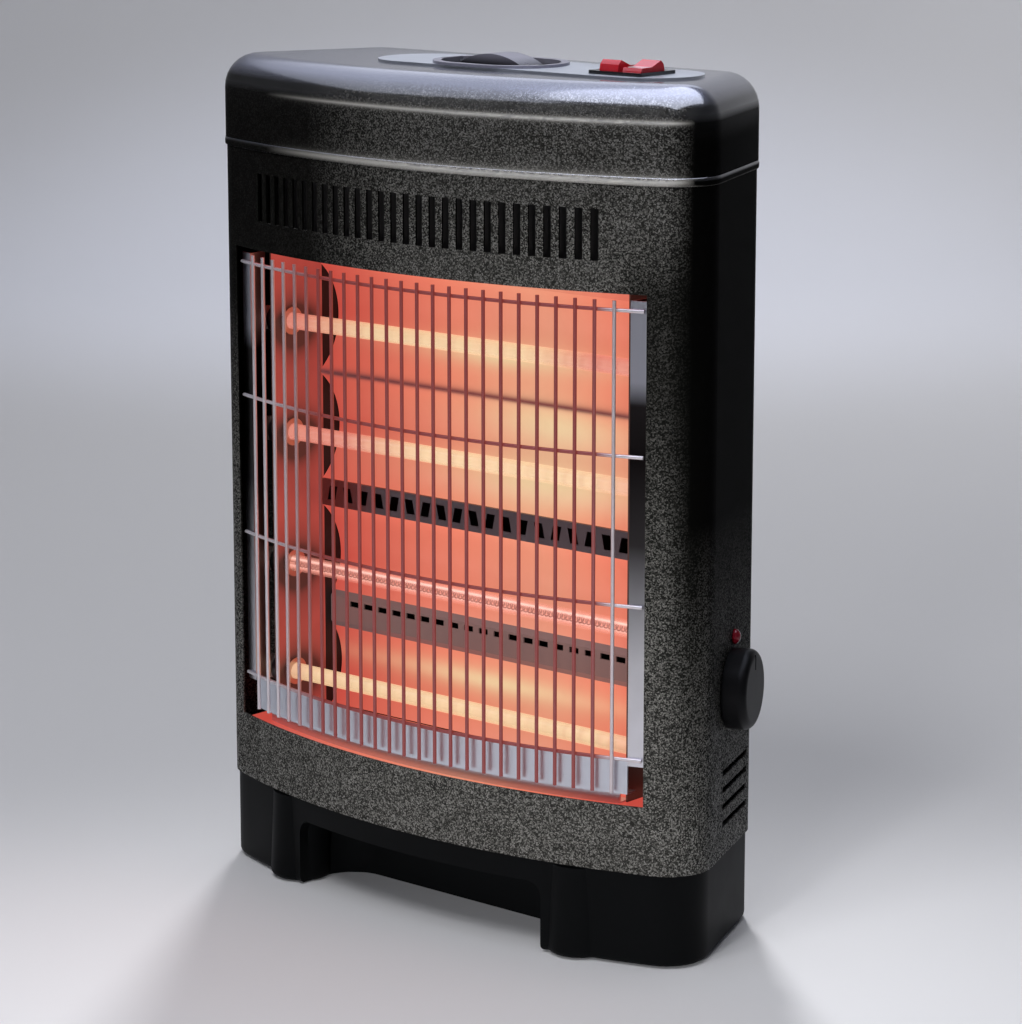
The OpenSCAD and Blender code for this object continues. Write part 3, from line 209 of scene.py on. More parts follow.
class Finish:
    """One material: a Principled shader and the nodes that feed it."""

    def __init__(self, name, **constants):
        self.material = bpy.data.materials.new(name)
        self.material.use_nodes = True
        self.tree = self.material.node_tree
        self.shader = self.tree.nodes["Principled BSDF"]
        for title, number in constants.items():
            self.shader.inputs[title.replace("_", " ")].default_value = number

    def node(self, kind, settings=None, inputs=None, output=0):
        """Adds a node, sets it up and fills its sockets.

        Gives back the output that is named, or a list of them where output is a tuple.
        """
        node = self.tree.nodes.new("ShaderNode" + kind)
        for title, setting in (settings or {}).items():
            if title == "stops":
                ramp = node.color_ramp
                while len(ramp.elements) < len(setting):
                    ramp.elements.new(0.5)
                for element, (place, colour) in zip(ramp.elements, setting):
                    element.position = place
                    element.color = (*colour, 1.0)
            else:
                setattr(node, title, setting)
        for title, item in (inputs or {}).items():
            if isinstance(item, Value):
                self.tree.links.new(item.socket, node.inputs[title])
            else:
                node.inputs[title].default_value = item
        if isinstance(output, tuple):
            return [Value(self.tree, node.outputs[title]) for title in output]
        return Value(self.tree, node.outputs[output])

    def feed(self, title, item):
        """Links a value to one of the shader's sockets."""
        self.tree.links.new(item.socket, self.shader.inputs[title])

    def place(self):
        """Object coordinates: metres in the heater's own frame."""
        return self.node("TexCoord", output="Object")

    def split(self, vector, axes):
        """A vector's parts along the axes that are named, such as xz."""
        return self.node("SeparateXYZ", None, {"Vector": vector}, tuple(axes.upper()))

    def where(self, axes):
        """The place along the axes that are named."""
        return self.split(self.place(), axes)

    def facing(self, axes):
        """The surface's own direction along the axes that are named."""
        return self.split(self.node("NewGeometry", output="Normal"), axes)

    def noise(self, scale, detail=2.0, rough=0.5, vector=None):
        """A soft cloud of values round one half."""
        return self.node("TexNoise", None, {"Vector": vector or self.place(), "Scale": scale,
                                            "Detail": detail, "Roughness": rough}, "Fac")

    def ramp(self, value, *stops):
        """A colour that goes from stop to stop as the value goes from 0 to 1."""
        return self.node("ValToRGB", {"stops": stops}, {"Fac": value}, "Color")

    def mix(self, factor, first, second):
        """The first colour where the factor is 0, and the second where it is 1."""
        first, second = (item if isinstance(item, Value) else (*item, 1.0) for item in (first, second))
        return self.node("Mix", {"data_type": "RGBA"},
                         {MIX_FACTOR: factor, MIX_FIRST: first, MIX_SECOND: second}, MIX_RESULT)

    def bump(self, height, strength, distance):
        """Raises the skin where the height is more."""
        self.feed("Normal", self.node("Bump", None, {"Strength": strength, "Distance": distance,
                                                     "Height": height}, "Normal"))


def between(first, second, share):
    """A colour part of the way from the first to the second."""
    return tuple(a + (b - a) * share for a, b in zip(first, second))


def scaled(tone, factor):
    """A colour made lighter or darker."""
    return tuple(factor * part for part in tone)


def wear(finish, *nodes):
    """Gives CAD nodes one material."""
    for node in nodes:
        mesh = NODES[node].data
        mesh.materials.clear()
        mesh.materials.append(finish.material)


def soften(angle, *nodes):
    """Shades nodes smooth by a modifier, save at edges sharper than the angle."""
    group = bpy.data.node_groups.new("soft_shading", "GeometryNodeTree")
    for way in ("INPUT", "OUTPUT"):
        group.interface.new_socket("Geometry", in_out=way, socket_type="NodeSocketGeometry")

    def add(kind, **inputs):
        node = group.nodes.new(kind)
        for title, item in inputs.items():
            node.inputs[title.replace("_", " ")].default_value = item
        return node

    enter = add("NodeGroupInput")
    weld = add("GeometryNodeMergeByDistance", Distance=1e-6)
    plain = add("GeometryNodeRemoveAttribute", Name="custom_normal")
    smooth = add("GeometryNodeSetShadeSmooth", Shade_Smooth=True)
    bend = add("GeometryNodeInputMeshEdgeAngle")
    over = add("ShaderNodeMath")
    over.operation = "GREATER_THAN"
    over.inputs[1].default_value = math.radians(angle)
    sharp = add("GeometryNodeSetShadeSmooth", Shade_Smooth=False)
    sharp.domain = "EDGE"
    leave = add("NodeGroupOutput")
    for one, other in ((enter, weld), (weld, plain), (plain, smooth), (smooth, sharp), (sharp, leave)):
        group.links.new(one.outputs[0], other.inputs[0])
    group.links.new(bend.outputs["Unsigned Angle"], over.inputs[0])
    group.links.new(over.outputs[0], sharp.inputs["Selection"])
    for node in nodes:
        NODES[node].modifiers.new("soft_shading", "NODES").node_group = group


# ------------------------------------------------------------------ finishes
def flecks(skin, paint):
    """The paint's dimples: how pale each one is, and the height of the skin over them."""
    cell = {"Vector": skin.place(), "Scale": 1 / paint.grain, "Randomness": 1.0}
    away, chance = skin.node("TexVoronoi", {"feature": "F1"}, cell, ("Distance", "Color"))
    cloud = skin.noise(1 / paint.mottle, detail=3.0, rough=0.6)
    pale = skin.split(chance, "x")[0] * 0.8 + cloud * 0.35 - away * 0.35
    return pale, away + cloud * 0.5


def painted_shade_masks(skin):
    """Masks of painted shade: up the right side wall, and at the front's upper left and beside the window."""
    aside, ahead = skin.facing("xy")
    x, z = skin.where("xz")
    reach = high_corner("front_panel").x
    wall_shade = aside.rise(0.50, 0.90) * z.rise(0.06, 0.26)
    upper_left_shade = z.rise(0.22, 0.36) * (1.0 - x.rise(-0.078, 0.015))
    jamb_height = z.rise(0.08, 0.33) * (1.0 - z.rise(0.39, 0.43))
    jamb_shade = jamb_height * x.rise(reach - 0.050, reach - 0.025) * 0.92
    front = (upper_left_shade + jamb_shade).clip() * (0.0 - ahead).rise(0.0, 0.3)
    return wall_shade, front


def polish(skin, paint, highlight_lines, wall_shade, tone, shiny):
    """Makes a lid's paint glossy, with a painted sheen, where it faces up, and paints highlights along its lines.

    A line is a height and a half width. Gloss and painted highlights fade to the left end, where painted shade
    darkens the sheen.
    """
    x, z = skin.where("xz")
    up = skin.facing("z")[0]
    painted_highlight = 0.0
    # painted highlights: pale metal bands along the rib and the top's bend, fading to the left
    for height, half_width in highlight_lines:
        painted_highlight = z.bell(height, half_width) + painted_highlight
    painted_highlight = (painted_highlight * x.rise(-0.12, 0.04) * (1.0 - wall_shade)).clip()
    # left: where painted shade darkens the sheen and the coat thins, towards the left end
    left = 1.0 - x.rise(-high_corner("front_panel").x, -0.02)
    gloss = up.rise(0.03, 0.22)
    level = up.rise(0.40, 0.75) * 0.8
    tone = skin.mix(painted_highlight, tone, HIGHLIGHT_TONE)
    # painted sheen where the lid faces up, over real metallic gloss
    tone = skin.mix(level, tone, tuple(paint.sheen))
    tone = skin.mix(level * left * 0.6, tone, scaled(paint.sheen, 0.25))
    skin.feed("Coat Weight", gloss * (1.0 - left * 0.7))
    skin.feed("Roughness", PAINT_ROUGHNESS - gloss * 0.2)
    return tone, (shiny + painted_highlight * 0.6) * (1.0 - level) + level * 0.8


def hammered_paint(name, paint, highlight_lines=()):
    """Charcoal hammered paint: dark ground, small pale flecks and a dimpled skin.

    With highlight lines it is a lid's paint. Painted shade darkens it in places.
    """
    skin = Finish(name, Roughness=PAINT_ROUGHNESS, Specular_IOR_Level=0.004, Coat_Roughness=0.13, Coat_IOR=2.1)
    pale, height = flecks(skin, paint)
    skin.bump(height, 0.25, paint.grain * 0.3)
    half = between(paint.dark, paint.light, 0.30)
    tone = skin.ramp(pale, (0.25, tuple(paint.dark)), (0.50, half), (0.85, tuple(paint.light)))
    # painted shade: darker paint without the flecks' shine up the right side wall, at the front's upper left and
    # beside the window
    wall_shade, front = painted_shade_masks(skin)
    tone = skin.mix(front * 0.95, tone, scaled(paint.dark, 0.25))
    tone = skin.mix(wall_shade, tone, scaled(paint.dark, 0.12))
    shiny = pale.rise(0.25, 0.70) * (1.0 - wall_shade) * (1.0 - front) * 0.7
    if highlight_lines:
        tone, shiny = polish(skin, paint, highlight_lines, wall_shade, tone, shiny)
    skin.feed("Base Color", tone)
    skin.feed("Metallic", shiny.clip())
    return skin


def roughen(plastic, rough, grain, relief):
    """Gives plastic its fine grain, and gives back the soft cloud over it."""
    cloud = plastic.noise(40, detail=3.0)
    plastic.feed("Roughness", cloud * 0.08 + (rough - 0.04))
    plastic.bump(plastic.noise(1 / grain), relief, BUMP_DEPTH)
    return cloud


def moulded_plastic(name, tone, rough=0.45, grain=PLASTIC_GRAIN, relief=PLASTIC_RELIEF, **constants):
    """Plastic with a fine grain, a little lighter in patches."""
    plastic = Finish(name, **{"Specular_IOR_Level": 0.4, **constants})
    cloud = roughen(plastic, rough, grain, relief)
    plastic.feed("Base Color", plastic.mix(cloud, tone, scaled(tone, 1.3)))
    return plastic


def hollow_plastic(name, node, pale, shallow, rough):
    """Plastic that is pale down to a shallow depth below the node's top, and painted dark further down as shade in
    the hollow.
    """
    deep = 0.006
    plastic = Finish(name, Specular_IOR_Level=0.4)
    roughen(plastic, rough, PLASTIC_GRAIN, 0.04)
    top = high_corner(node).z
    height = plastic.where("z")[0]
    # painted shade in the hollow below the top
    plastic.feed("Base Color", plastic.mix(height.rise(top - deep, top - shallow), DEEP_SHADE, pale))
    return plastic


def metal(name, tone, rough, brushed=None, **constants):
    """Sheet or wire with a faint cloud, and fine lines along X where it is brushed."""
    sheet = Finish(name, Metallic=1.0, **constants)
    cloud = sheet.noise(60, detail=3.0)
    sheet.feed("Base Color", sheet.mix(cloud, scaled(tone, 0.88), tone))
    sheet.feed("Roughness", cloud * 0.1 + (rough - 0.05))
    if brushed:
        stretched = sheet.node("Mapping", None, {"Vector": sheet.place(), "Scale": (0.03, 1.0, 1.0)})
        sheet.bump(sheet.noise(1 / brushed, rough=0.6, vector=stretched), 0.15, BUMP_DEPTH)
    return sheet


def glow_painted_sheet(name, glow, reach, inward=("y", -1), patches=(), shaded_strip=None, ridge=None):
    """Polished sheet with the tubes' light painted on as glow, which grows from one end to the middle and fades at
    the far end.

    Only the side that faces inward glows: inward is an axis and a direction along it. An amber patch, a painted
    highlight, is its x and z and spread along each. The shaded strip (two heights) and ridge (one) are painted
    shade.
    """
    sheet = Finish(name, Metallic=0.5, Roughness=0.32, Base_Color=(0.12, 0.06, 0.045, 1), Emission_Strength=0.92)
    x, z = sheet.where("xz")
    light = sheet.ramp(x.rise(-reach, reach),
                       (0.0, tuple(glow.ember)), (0.20, between(glow.ember, glow.salmon, 0.55)),
                       (0.36, tuple(glow.salmon)), (0.62, tuple(glow.peach)),
                       (0.80, tuple(glow.salmon)), (1.0, tuple(glow.ember)))
    for centre_x, centre_z, wide, tall in patches:
        light = sheet.mix(x.bell(centre_x, wide) * z.bell(centre_z, tall), light, tuple(glow.amber))
    # painted shade line along the crease
    if ridge is not None:
        light = sheet.mix((z.bell(ridge, 0.0026) * 1.1).clip(), light, RIDGE_SHADE)
    # painted shade on the strip
    if shaded_strip is not None:
        low, high = shaded_strip
        light = sheet.mix((z > low) * (z < high), light, STRIP_SHADE)
    # painted glow, dimmer in soft patches
    glow_mottle = sheet.noise(55, detail=4.0, rough=0.6) * 0.25 + 0.875
    light = sheet.mix(1.0 - glow_mottle, light, scaled(glow.ember, 0.6))
    axis, way = inward
    inner = (sheet.facing(axis)[0] * way).rise(-0.05, 0.10)
    sheet.feed("Emission Color", sheet.mix(inner, (0.010, 0.003, 0.002), light))
    return sheet


def glow_painted_end_plate(name):
    """An end of the chamber: a painted glow on its inner side, and painted shade round each tube."""
    plate = Finish(name, Metallic=0.3, Roughness=0.4, Base_Color=(0.06, 0.03, 0.025, 1), Emission_Strength=1.0)
    x, y, z = plate.where("xyz")
    light = plate.mix(plate.noise(50, detail=3.0), (0.26, 0.032, 0.026), (0.46, 0.065, 0.050))
    # painted shade round each tube's end
    for tube in TUBES:
        centre = middle(tube)
        shade = (y.bell(centre.y + 0.004, 0.024) * z.bell(centre.z - 0.004, 0.018) * 2.4).clip()
        light = plate.mix(shade, light, (0.035, 0.012, 0.010))
    inner = (plate.facing("x")[0] * x).rise(0.0, -0.05)
    plate.feed("Emission Color", plate.mix(inner, (0.012, 0.003, 0.002), light))
    return plate


def lit_quartz(name, glow, hot):
    """A lit tube: pink at its cool ends, cream between the two places in hot, soft-edged round its coil."""
    quartz = Finish(name, Base_Color=(0.22, 0.14, 0.11, 1), Roughness=0.12, Emission_Strength=0.88)
    x = quartz.where("x")[0]
    start, end = hot
    warm = x.rise(start - 0.06, start) * (1.0 - x.rise(end, end + 0.05))
    beads = quartz.node("TexNoise", {"noise_dimensions": "1D"}, {"W": x, "Scale": 150.0, "Detail": 2.0}, "Fac")
    heat = warm * (beads * 0.5 + 0.7).clip()
    quartz.feed("Emission Color", quartz.mix(heat, tuple(glow.pink), tuple(glow.cream)))
    rim = quartz.node("LayerWeight", None, {"Blend": 0.35}, "Facing")
    quartz.feed("Alpha", (0.85 - rim * 0.35).clip())
    return quartz


def clear_quartz(name):
    """A tube that is off: see-through, with a painted glow and a painted highlight along its top."""
    quartz = Finish(name, Base_Color=(0.4, 0.2, 0.17, 1), Roughness=0.06, Emission_Strength=0.9)
    # painted highlight along the top, and a painted glow of the chamber's light on the tube that is off
    top_highlight = quartz.facing("z")[0].bell(0.72, 0.16)
    quartz.feed("Emission Color", quartz.mix(top_highlight, (0.66, 0.24, 0.18), (0.82, 0.52, 0.43)))
    quartz.feed("Alpha", (top_highlight * 0.75 + 0.2).clip())
    return quartz


def guard_chrome(name, glow, reach):
    """Chromed wire, painted darker and given a faint painted glow where it crosses the chamber, for the light
    behind it.
    """
    wire = Finish(name, Metallic=0.75, Emission_Strength=0.25)
    cloud = wire.noise(60, detail=3.0)
    wire.feed("Roughness", cloud * 0.1 + 0.3)
    x = wire.where("x")[0]
    # painted light: darker tone and a faint painted glow where the wire crosses the chamber
    warm = x.rise(-reach + 0.020, -reach + 0.065) * (1.0 - x.rise(reach - 0.010, reach + 0.004))
    bare = wire.mix(cloud, (0.60, 0.57, 0.60), (0.74, 0.70, 0.74))
    wire.feed("Base Color", wire.mix(warm, bare, (0.13, 0.07, 0.075)))
    wire.feed("Emission Color", wire.mix(warm, (0.0, 0.0, 0.0), tuple(glow.ember)))
    return wire


def channel_chrome(name, low, high):
    """Bright strip between two heights, with a painted reflection of a dark room over its middle."""
    strip = Finish(name, Metallic=1.0)
    # share of the height, and the colour of the painted reflection there
    mirrored = ((0.0, (0.75, 0.74, 0.78)), (0.22, (0.62, 0.61, 0.63)), (0.48, (0.05, 0.045, 0.045)),
                (0.66, (0.015, 0.012, 0.012)), (0.78, (0.03, 0.025, 0.025)), (0.83, (0.60, 0.60, 0.66)),
                (1.0, (0.70, 0.70, 0.76)))
    strip.feed("Base Color", strip.ramp(strip.where("z")[0].rise(low, high), *mirrored))
    strip.feed("Roughness", strip.noise(80, detail=3.0) * 0.1 + 0.25)
    return strip


# ------------------------------------------------------------------ pieces
class HEATER_OT_case(bpy.types.Operator):
    """Paint the steel case and its lid"""

    bl_idname = "heater.case"
    bl_label = "Case and lid"

    def execute(self, context):
        paint = context.scene.heater_paint
        wear(hammered_paint("case_paint", paint), "front_panel", "back_panel")
        # heights of the lid's painted highlight lines: the rib and the top's bend
        rib = low_corner("lid").z + 0.0026
        bend = high_corner("lid").z - 0.0200
        wear(hammered_paint("lid_paint", paint, highlight_lines=((rib, 0.0022), (bend, 0.0012))), "lid")
        wear(metal("black_screw", (0.05, 0.05, 0.05), 0.4), "case_screws")
        soften(SMOOTH_ANGLE, "lid")
        return {"FINISHED"}


class HEATER_OT_base(bpy.types.Operator):
    """Finish the moulded base, its feet and screws, and the steel plates"""

    bl_idname = "heater.base"
    bl_label = "Base"

    def execute(self, context):
        wear(moulded_plastic("base_plastic", (0.0017, 0.0019, 0.0021), 0.5, Specular_IOR_Level=0.06), "base")
        wear(moulded_plastic("foot_rubber", (0.02, 0.02, 0.02), 0.8), "rubber_feet")
        wear(metal("zinc_plate", (0.6, 0.61, 0.62), 0.35), "base_screws", "chassis_plate")
        wear(metal("blued_steel", (0.03, 0.028, 0.03), 0.5), "heat_shield")
        soften(SMOOTH_ANGLE, "base")
        return {"FINISHED"}


class HEATER_OT_controls(bpy.types.Operator):
    """Finish the control panel, the handle, the switches, the knob, the lamp and the wiring"""

    bl_idname = "heater.controls"
    bl_label = "Controls"

    def execute(self, context):
        wear(metal("silver_panel", (0.66, 0.68, 0.70), 0.34, brushed=0.0006), "control_panel")
        wear(hollow_plastic("bowl_grey", "handle_bowl", (0.18, 0.18, 0.23), 0.002, 0.3), "handle_bowl")
        wear(hollow_plastic("grip_grey", "handle_grip", (0.17, 0.17, 0.22), 0.001, 0.28), "handle_grip")
        wear(moulded_plastic("gloss_black", (0.006, 0.006, 0.007), 0.12, relief=0.02, Coat_Weight=0.5),
             "switch_frame")
        wear(moulded_plastic("switch_red", (0.42, 0.012, 0.022), 0.12, relief=0.0, Coat_Weight=0.8,
                             Subsurface_Weight=0.2, Subsurface_Radius=(0.004, 0.0006, 0.0006)),
             "rocker_left", "rocker_right")
        wear(moulded_plastic("switch_black", (0.01, 0.01, 0.01), 0.4), "switch_left_body", "switch_right_body")
        wear(moulded_plastic("knob_black", (0.002, 0.002, 0.0023), 0.36, relief=0.02, Specular_IOR_Level=0.08),
             "thermostat_knob")
        wear(metal("shaft_steel", (0.6, 0.6, 0.6), 0.3), "thermostat_shaft")
        wear(metal("nut_brass", (0.68, 0.50, 0.22), 0.3), "thermostat_nut")
        wear(moulded_plastic("lamp_red", (0.16, 0.004, 0.012), 0.15, relief=0.0), "pilot_lens")
        wear(moulded_plastic("phenolic", (0.62, 0.58, 0.48), 0.45),
             "thermostat_body", "tip_switch_body", "terminal_block", "thermal_cutout")
        wear(moulded_plastic("white_nylon", (0.75, 0.75, 0.72), 0.4), "pilot_body", "tip_plunger")
        wear(moulded_plastic("woven_sleeve", (0.55, 0.53, 0.47), 0.7, grain=0.0009, relief=0.4), "wiring_loom")
        wear(moulded_plastic("gland_black", (0.015, 0.015, 0.015), 0.5), "cord_gland")
        return {"FINISHED"}


class HEATER_OT_chamber(bpy.types.Operator):
    """Finish the reflectors and the sheet round the tubes, with the tubes' light painted on as glow"""

    bl_idname = "heater.chamber"
    bl_label = "Tube chamber"

    def execute(self, context):
        glow = context.scene.heater_glow
        reach = high_corner("reflector_upper").x
        z1, z2, z3, z4 = (middle(tube).z for tube in TUBES)
        # patches of painted highlight: x, z, and the spread along each
        upper = ((0.042, z2 + 0.020, 0.070, 0.022), (0.034, z2 - 0.016, 0.095, 0.018),
                 (0.0, z1 - 0.013, 0.075, 0.009))
        lower = ((-0.01, z4 + 0.006, 0.10, 0.010),)
        # a strip of painted shade between the lower two tubes, and a painted shade line at the crease between the
        # upper two
        strip = (z3 + z4) / 2
        strip_half = 0.0115
        wear(glow_painted_sheet("upper_reflector", glow, reach, patches=upper, ridge=(z1 + z2) / 2), "reflector_upper")
        wear(glow_painted_sheet("lower_reflector", glow, reach, patches=lower,
                       shaded_strip=(strip - strip_half, strip + strip_half)), "reflector_lower")
        wear(glow_painted_sheet("roof_sheet", glow, reach, inward=("z", -1)), "chamber_roof")
        wear(glow_painted_sheet("floor_sheet", glow, reach, inward=("z", 1)), "chamber_floor")
        wear(glow_painted_end_plate("end_plate_sheet"), "end_plate_left", "end_plate_right")
        wear(metal("bar_metal", (0.24, 0.21, 0.22), 0.3), "centre_bar")
        wear(moulded_plastic("heat_black", (0.010, 0.009, 0.009), 0.6),
             "upright_left", "upright_right", "vent_baffle")
        return {"FINISHED"}


class HEATER_OT_tubes(bpy.types.Operator):
    """Light the quartz tubes and wind their heating coils"""

    bl_idname = "heater.tubes"
    bl_label = "Tubes"

    def execute(self, context):
        glow = context.scene.heater_glow
        # where each lit tube is hottest, from and to
        hot = {"tube_1": (-0.070, 0.055), "tube_2": (-0.030, 0.100), "tube_4": (-0.120, 0.105)}
        for tube, stretch in hot.items():
            wear(lit_quartz("lit_" + tube, glow, stretch), tube)
        wear(clear_quartz("clear_quartz"), COLD_TUBE)
        wear(metal("collar_steel", (0.62, 0.50, 0.44), 0.3), "tube_collars")
        wear(moulded_plastic("ceramic", (0.72, 0.70, 0.64), 0.3), "tube_caps")
        wear(metal("spring_steel", (0.5, 0.5, 0.5), 0.35), "tube_clips")
        self.wind(context.scene, glow)
        return {"FINISHED"}

    def wires(self, glow):
        """The materials of a lit and a cold coil."""
        lit = Finish("lit_wire", Base_Color=(0.6, 0.4, 0.3, 1), Roughness=0.5, Emission_Strength=0.78)
        x = lit.where("x")[0]
        heat = x.rise(-0.13, -0.06) * (1.0 - x.rise(0.09, 0.14))
        lit.feed("Emission Color", lit.mix(heat, tuple(glow.pink), tuple(glow.filament)))
        cold = Finish("cold_wire", Base_Color=(0.22, 0.10, 0.08, 1), Roughness=0.5, Metallic=0.4)
        return lit.material, cold.material

    def wind(self, scene, glow):
        """One wound wire in each tube, with straight ends."""
        low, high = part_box("heating_coils")
        radius = 0.0019
        tail = 0.014
        steps = 12
        run = high[0] - low[0] - 2 * tail
        count = round(run / glow.coil_pitch) * steps
        curve = bpy.data.curves.new("coil_windings", "CURVE")
        curve.dimensions = "3D"
        curve.bevel_depth = glow.coil_wire / 2
        curve.bevel_resolution = 1
        # the materials come before the splines, which name them by number
        for material in self.wires(glow):
            curve.materials.append(material)
        for tube in TUBES:
            centre = middle(tube)
            places = [Vector((low[0], centre.y, centre.z))]
            for i in range(count + 1):
                turn = 2 * math.pi * i / steps
                places.append(Vector((low[0] + tail + run * i / count, centre.y + radius * math.cos(turn),
                                      centre.z + radius * math.sin(turn))))
            places.append(Vector((high[0], centre.y, centre.z)))
            line = curve.splines.new("POLY")
            line.points.add(len(places) - 1)
            line.material_index = int(tube == COLD_TUBE)
            for point, place in zip(line.points, places):
                point.co = (*place, 1.0)
        piece = bpy.data.objects.new("coil_windings", curve)
        scene.collection.objects.link(piece)
        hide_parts("heating_coils")
        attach(piece, "heater")


class HEATER_OT_guard(bpy.types.Operator):
    """Finish the wire guard, its channels and sill, and the plunger's spring"""

    bl_idname = "heater.guard"
    bl_label = "Guard"

    def execute(self, context):
        glow = context.scene.heater_glow
        wear(guard_chrome("guard_chrome", glow, high_corner("reflector_upper").x), "wire_guard")
        channels = "guard_channel_left", "guard_channel_right"
        low, high = low_corner(channels[1]).z, high_corner(channels[1]).z
        wear(channel_chrome("channel_chrome", low, high), *channels)
        wear(metal("sill_chrome", (0.82, 0.85, 0.92), 0.38), "guard_sill")
        wear(metal("bright_spring", (0.8, 0.8, 0.82), 0.2), "tip_spring")
        return {"FINISHED"}


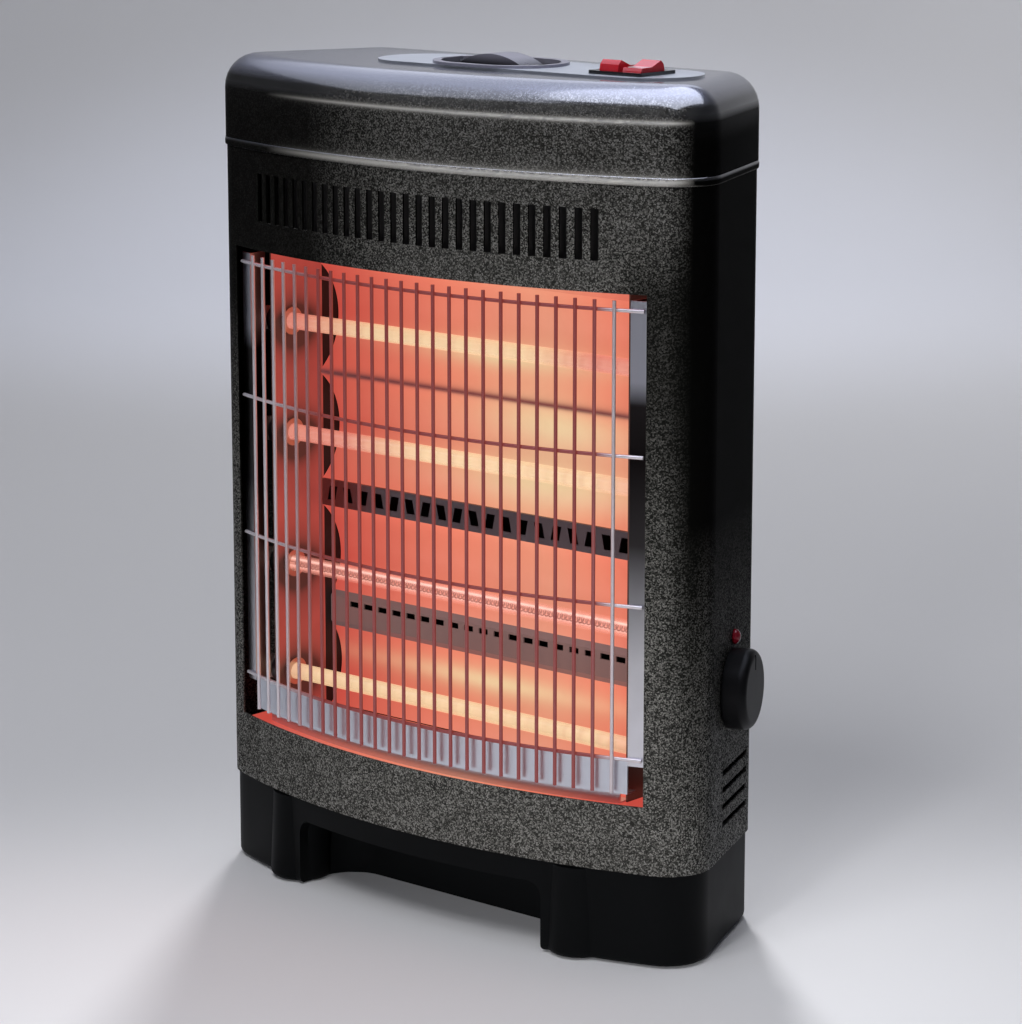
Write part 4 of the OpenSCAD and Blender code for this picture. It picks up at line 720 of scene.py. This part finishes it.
# ------------------------------------------------------------------ studio
class HEATER_OT_studio(bpy.types.Operator):
    """Set up the camera, the backdrop and the lights"""

    bl_idname = "heater.studio"
    bl_label = "Studio"

    def execute(self, context):
        studio = context.scene.heater_studio
        context.scene.view_settings.view_transform = "Standard"
        self.camera(context.scene, studio)
        self.backdrop(context.scene, studio)
        self.daylight(context.scene)
        self.lights(context.scene, studio)
        return {"FINISHED"}

    def camera(self, scene, studio):
        """The camera, where the settings put it."""
        eye = bpy.data.cameras.new("camera")
        eye.sensor_fit = "VERTICAL"
        eye.sensor_height = 36
        eye.lens = studio.lens
        eye.clip_end = 50
        camera = bpy.data.objects.new("camera", eye)
        camera.location = studio.camera_place
        camera.rotation_euler = Vector(studio.camera_aim).to_track_quat("-Z", "Y").to_euler()
        scene.collection.objects.link(camera)
        scene.camera = camera

    def backdrop(self, scene, studio):
        """A round floor that turns up into a wall, so that no edge shows from any side."""
        ring = 96
        bend_steps = 16
        profile = [(studio.floor_radius, 0.0)]
        for i in range(1, bend_steps + 1):
            turn = math.pi / 2 * i / bend_steps
            profile.append((studio.floor_radius + studio.bend_radius * math.sin(turn),
                            studio.bend_radius * (1 - math.cos(turn))))
        profile.append((profile[-1][0], studio.wall_height))
        shape = bmesh.new()
        centre = shape.verts.new((0, 0, 0))
        rows = [[shape.verts.new((radius * math.cos(2 * math.pi * k / ring),
                                  radius * math.sin(2 * math.pi * k / ring), height))
                 for k in range(ring)] for radius, height in profile]
        for k in range(ring):
            after = (k + 1) % ring
            shape.faces.new((centre, rows[0][k], rows[0][after]))
            for inner, outer in zip(rows, rows[1:]):
                shape.faces.new((inner[k], outer[k], outer[after], inner[after]))
        for face in shape.faces:
            face.smooth = True
        mesh = bpy.data.meshes.new("backdrop")
        shape.to_mesh(mesh)
        shape.free()
        paper = Finish("backdrop_paper", Roughness=0.7, Specular_IOR_Level=0.2)
        tone = tuple(studio.paper)
        paper.feed("Base Color", paper.mix(paper.noise(1.5), scaled(tone, 0.98), tone))
        mesh.materials.append(paper.material)
        backdrop = bpy.data.objects.new("backdrop", mesh)
        scene.collection.objects.link(backdrop)

    def daylight(self, scene):
        """A faint light from all round."""
        world = bpy.data.worlds.new("studio_light")
        scene.world = world
        world.use_nodes = True
        sky = world.node_tree.nodes["Background"]
        sky.inputs["Color"].default_value = (0.80, 0.86, 1.0, 1)
        sky.inputs["Strength"].default_value = 0.05

    def lights(self, scene, studio):
        """Wide soft lamps, some of them seen only in gloss, and soft-edged spots."""
        white, cool = (1.0, 0.985, 0.97), (0.78, 0.83, 1.0)
        ahead = Vector((studio.camera_aim[0], studio.camera_aim[1], 0)).normalized()
        right = Vector((ahead.y, -ahead.x, 0))
        up = Vector((0, 0, 1))
        # name, place, what it faces, width, height, power, tint, seen in gloss, lights matt surfaces
        soft_lamps = (
            ("overhead", 0.05 * ahead + 1.75 * up, 0.05 * ahead, 1.7, 2.3, 13, white, False, True),
            ("sky_top", Vector((0.45, 0.0, 1.9)), Vector((0.45, 0.0, 0.0)), 2.1, 2.6, 62, cool, True, False),
            ("sky_left", Vector((-1.65, 0.4, 1.9)), Vector((-1.65, 0.4, 0.0)), 2.1, 4.4, 34, cool, True, False),
            ("key", Vector((0.25, -1.05, 1.70)), Vector((0.1, -0.4, 0.0)), 0.6, 0.6, 9, white, False, True),
            ("wash", 1.6 * ahead + 0.8 * right + 2.0 * up, 4.0 * ahead + 0.3 * right + 0.5 * up,
             1.6, 0.6, 27, white, False, True),
        )
        for name, place, target, width, height, power, tint, mirrored, diffused in soft_lamps:
            lamp = bpy.data.lights.new(name, "AREA")
            lamp.shape = "RECTANGLE"
            lamp.size = width
            lamp.size_y = height
            self.hang(scene, lamp, place, target, power, tint, mirrored, diffused)
        # name, place, what it is aimed at, cone in degrees, power, tint
        spots = (
            ("floor_spot", 1.2 * ahead + 2.0 * up, -0.80 * ahead, 43, 150, white),
            ("wall_spot", 2.55 * ahead + 2.0 * up, 2.60 * ahead, 62, 50, cool),
            ("apron_spot", Vector((0.60, -1.70, 0.22)), Vector((0.10, -0.06, 0.13)), 25, 130, white),
            ("front_spot", Vector((0.95, -1.80, 0.75)), Vector((0.26, -0.06, 0.34)), 23, 38, white),
        )
        for name, place, target, cone, power, tint in spots:
            lamp = bpy.data.lights.new(name, "SPOT")
            lamp.spot_size = math.radians(cone)
            lamp.spot_blend = 1.0
            lamp.shadow_soft_size = 0.12
            self.hang(scene, lamp, place, target, power, tint)

    def hang(self, scene, lamp, place, target, power, tint, mirrored=False, diffused=True):
        """Puts a lamp in its place, facing its target, out of the camera's sight."""
        lamp.energy = power
        lamp.color = tint
        light = bpy.data.objects.new(lamp.name, lamp)
        light.location = place
        light.rotation_euler = (target - place).to_track_quat("-Z", "Y").to_euler()
        light.visible_camera = False
        light.visible_glossy = mirrored
        light.visible_diffuse = diffused
        scene.collection.objects.link(light)


class HEATER_PT_panel(bpy.types.Panel):
    """Lists the heater's operators"""

    bl_label = "Heater"
    bl_idname = "HEATER_PT_panel"
    bl_space_type = "VIEW_3D"
    bl_region_type = "UI"
    bl_category = "Heater"

    def draw(self, context):
        for operator in STEPS:
            self.layout.operator(operator.bl_idname)


STEPS = (HEATER_OT_studio, HEATER_OT_case, HEATER_OT_base, HEATER_OT_controls, HEATER_OT_chamber,
         HEATER_OT_tubes, HEATER_OT_guard)
GROUPS = {"heater_paint": HeaterPaint, "heater_glow": HeaterGlow, "heater_studio": HeaterStudio}
CLASSES = (*GROUPS.values(), *STEPS, HEATER_PT_panel)


def register():
    for cls in CLASSES:
        bpy.utils.register_class(cls)
    for name, group in GROUPS.items():
        setattr(bpy.types.Scene, name, bpy.props.PointerProperty(type=group))


def unregister():
    for name in GROUPS:
        delattr(bpy.types.Scene, name)
    for cls in reversed(CLASSES):
        bpy.utils.unregister_class(cls)


def main():
    register()
    for operator in STEPS:
        group, name = operator.bl_idname.split(".")
        getattr(getattr(bpy.ops, group), name)()
    bare = [name for name, piece in NODES.items() if not piece.hide_render and not piece.data.materials]
    if bare:
        raise RuntimeError("no finish on " + ", ".join(bare))


if __name__ == "__main__":
    main()
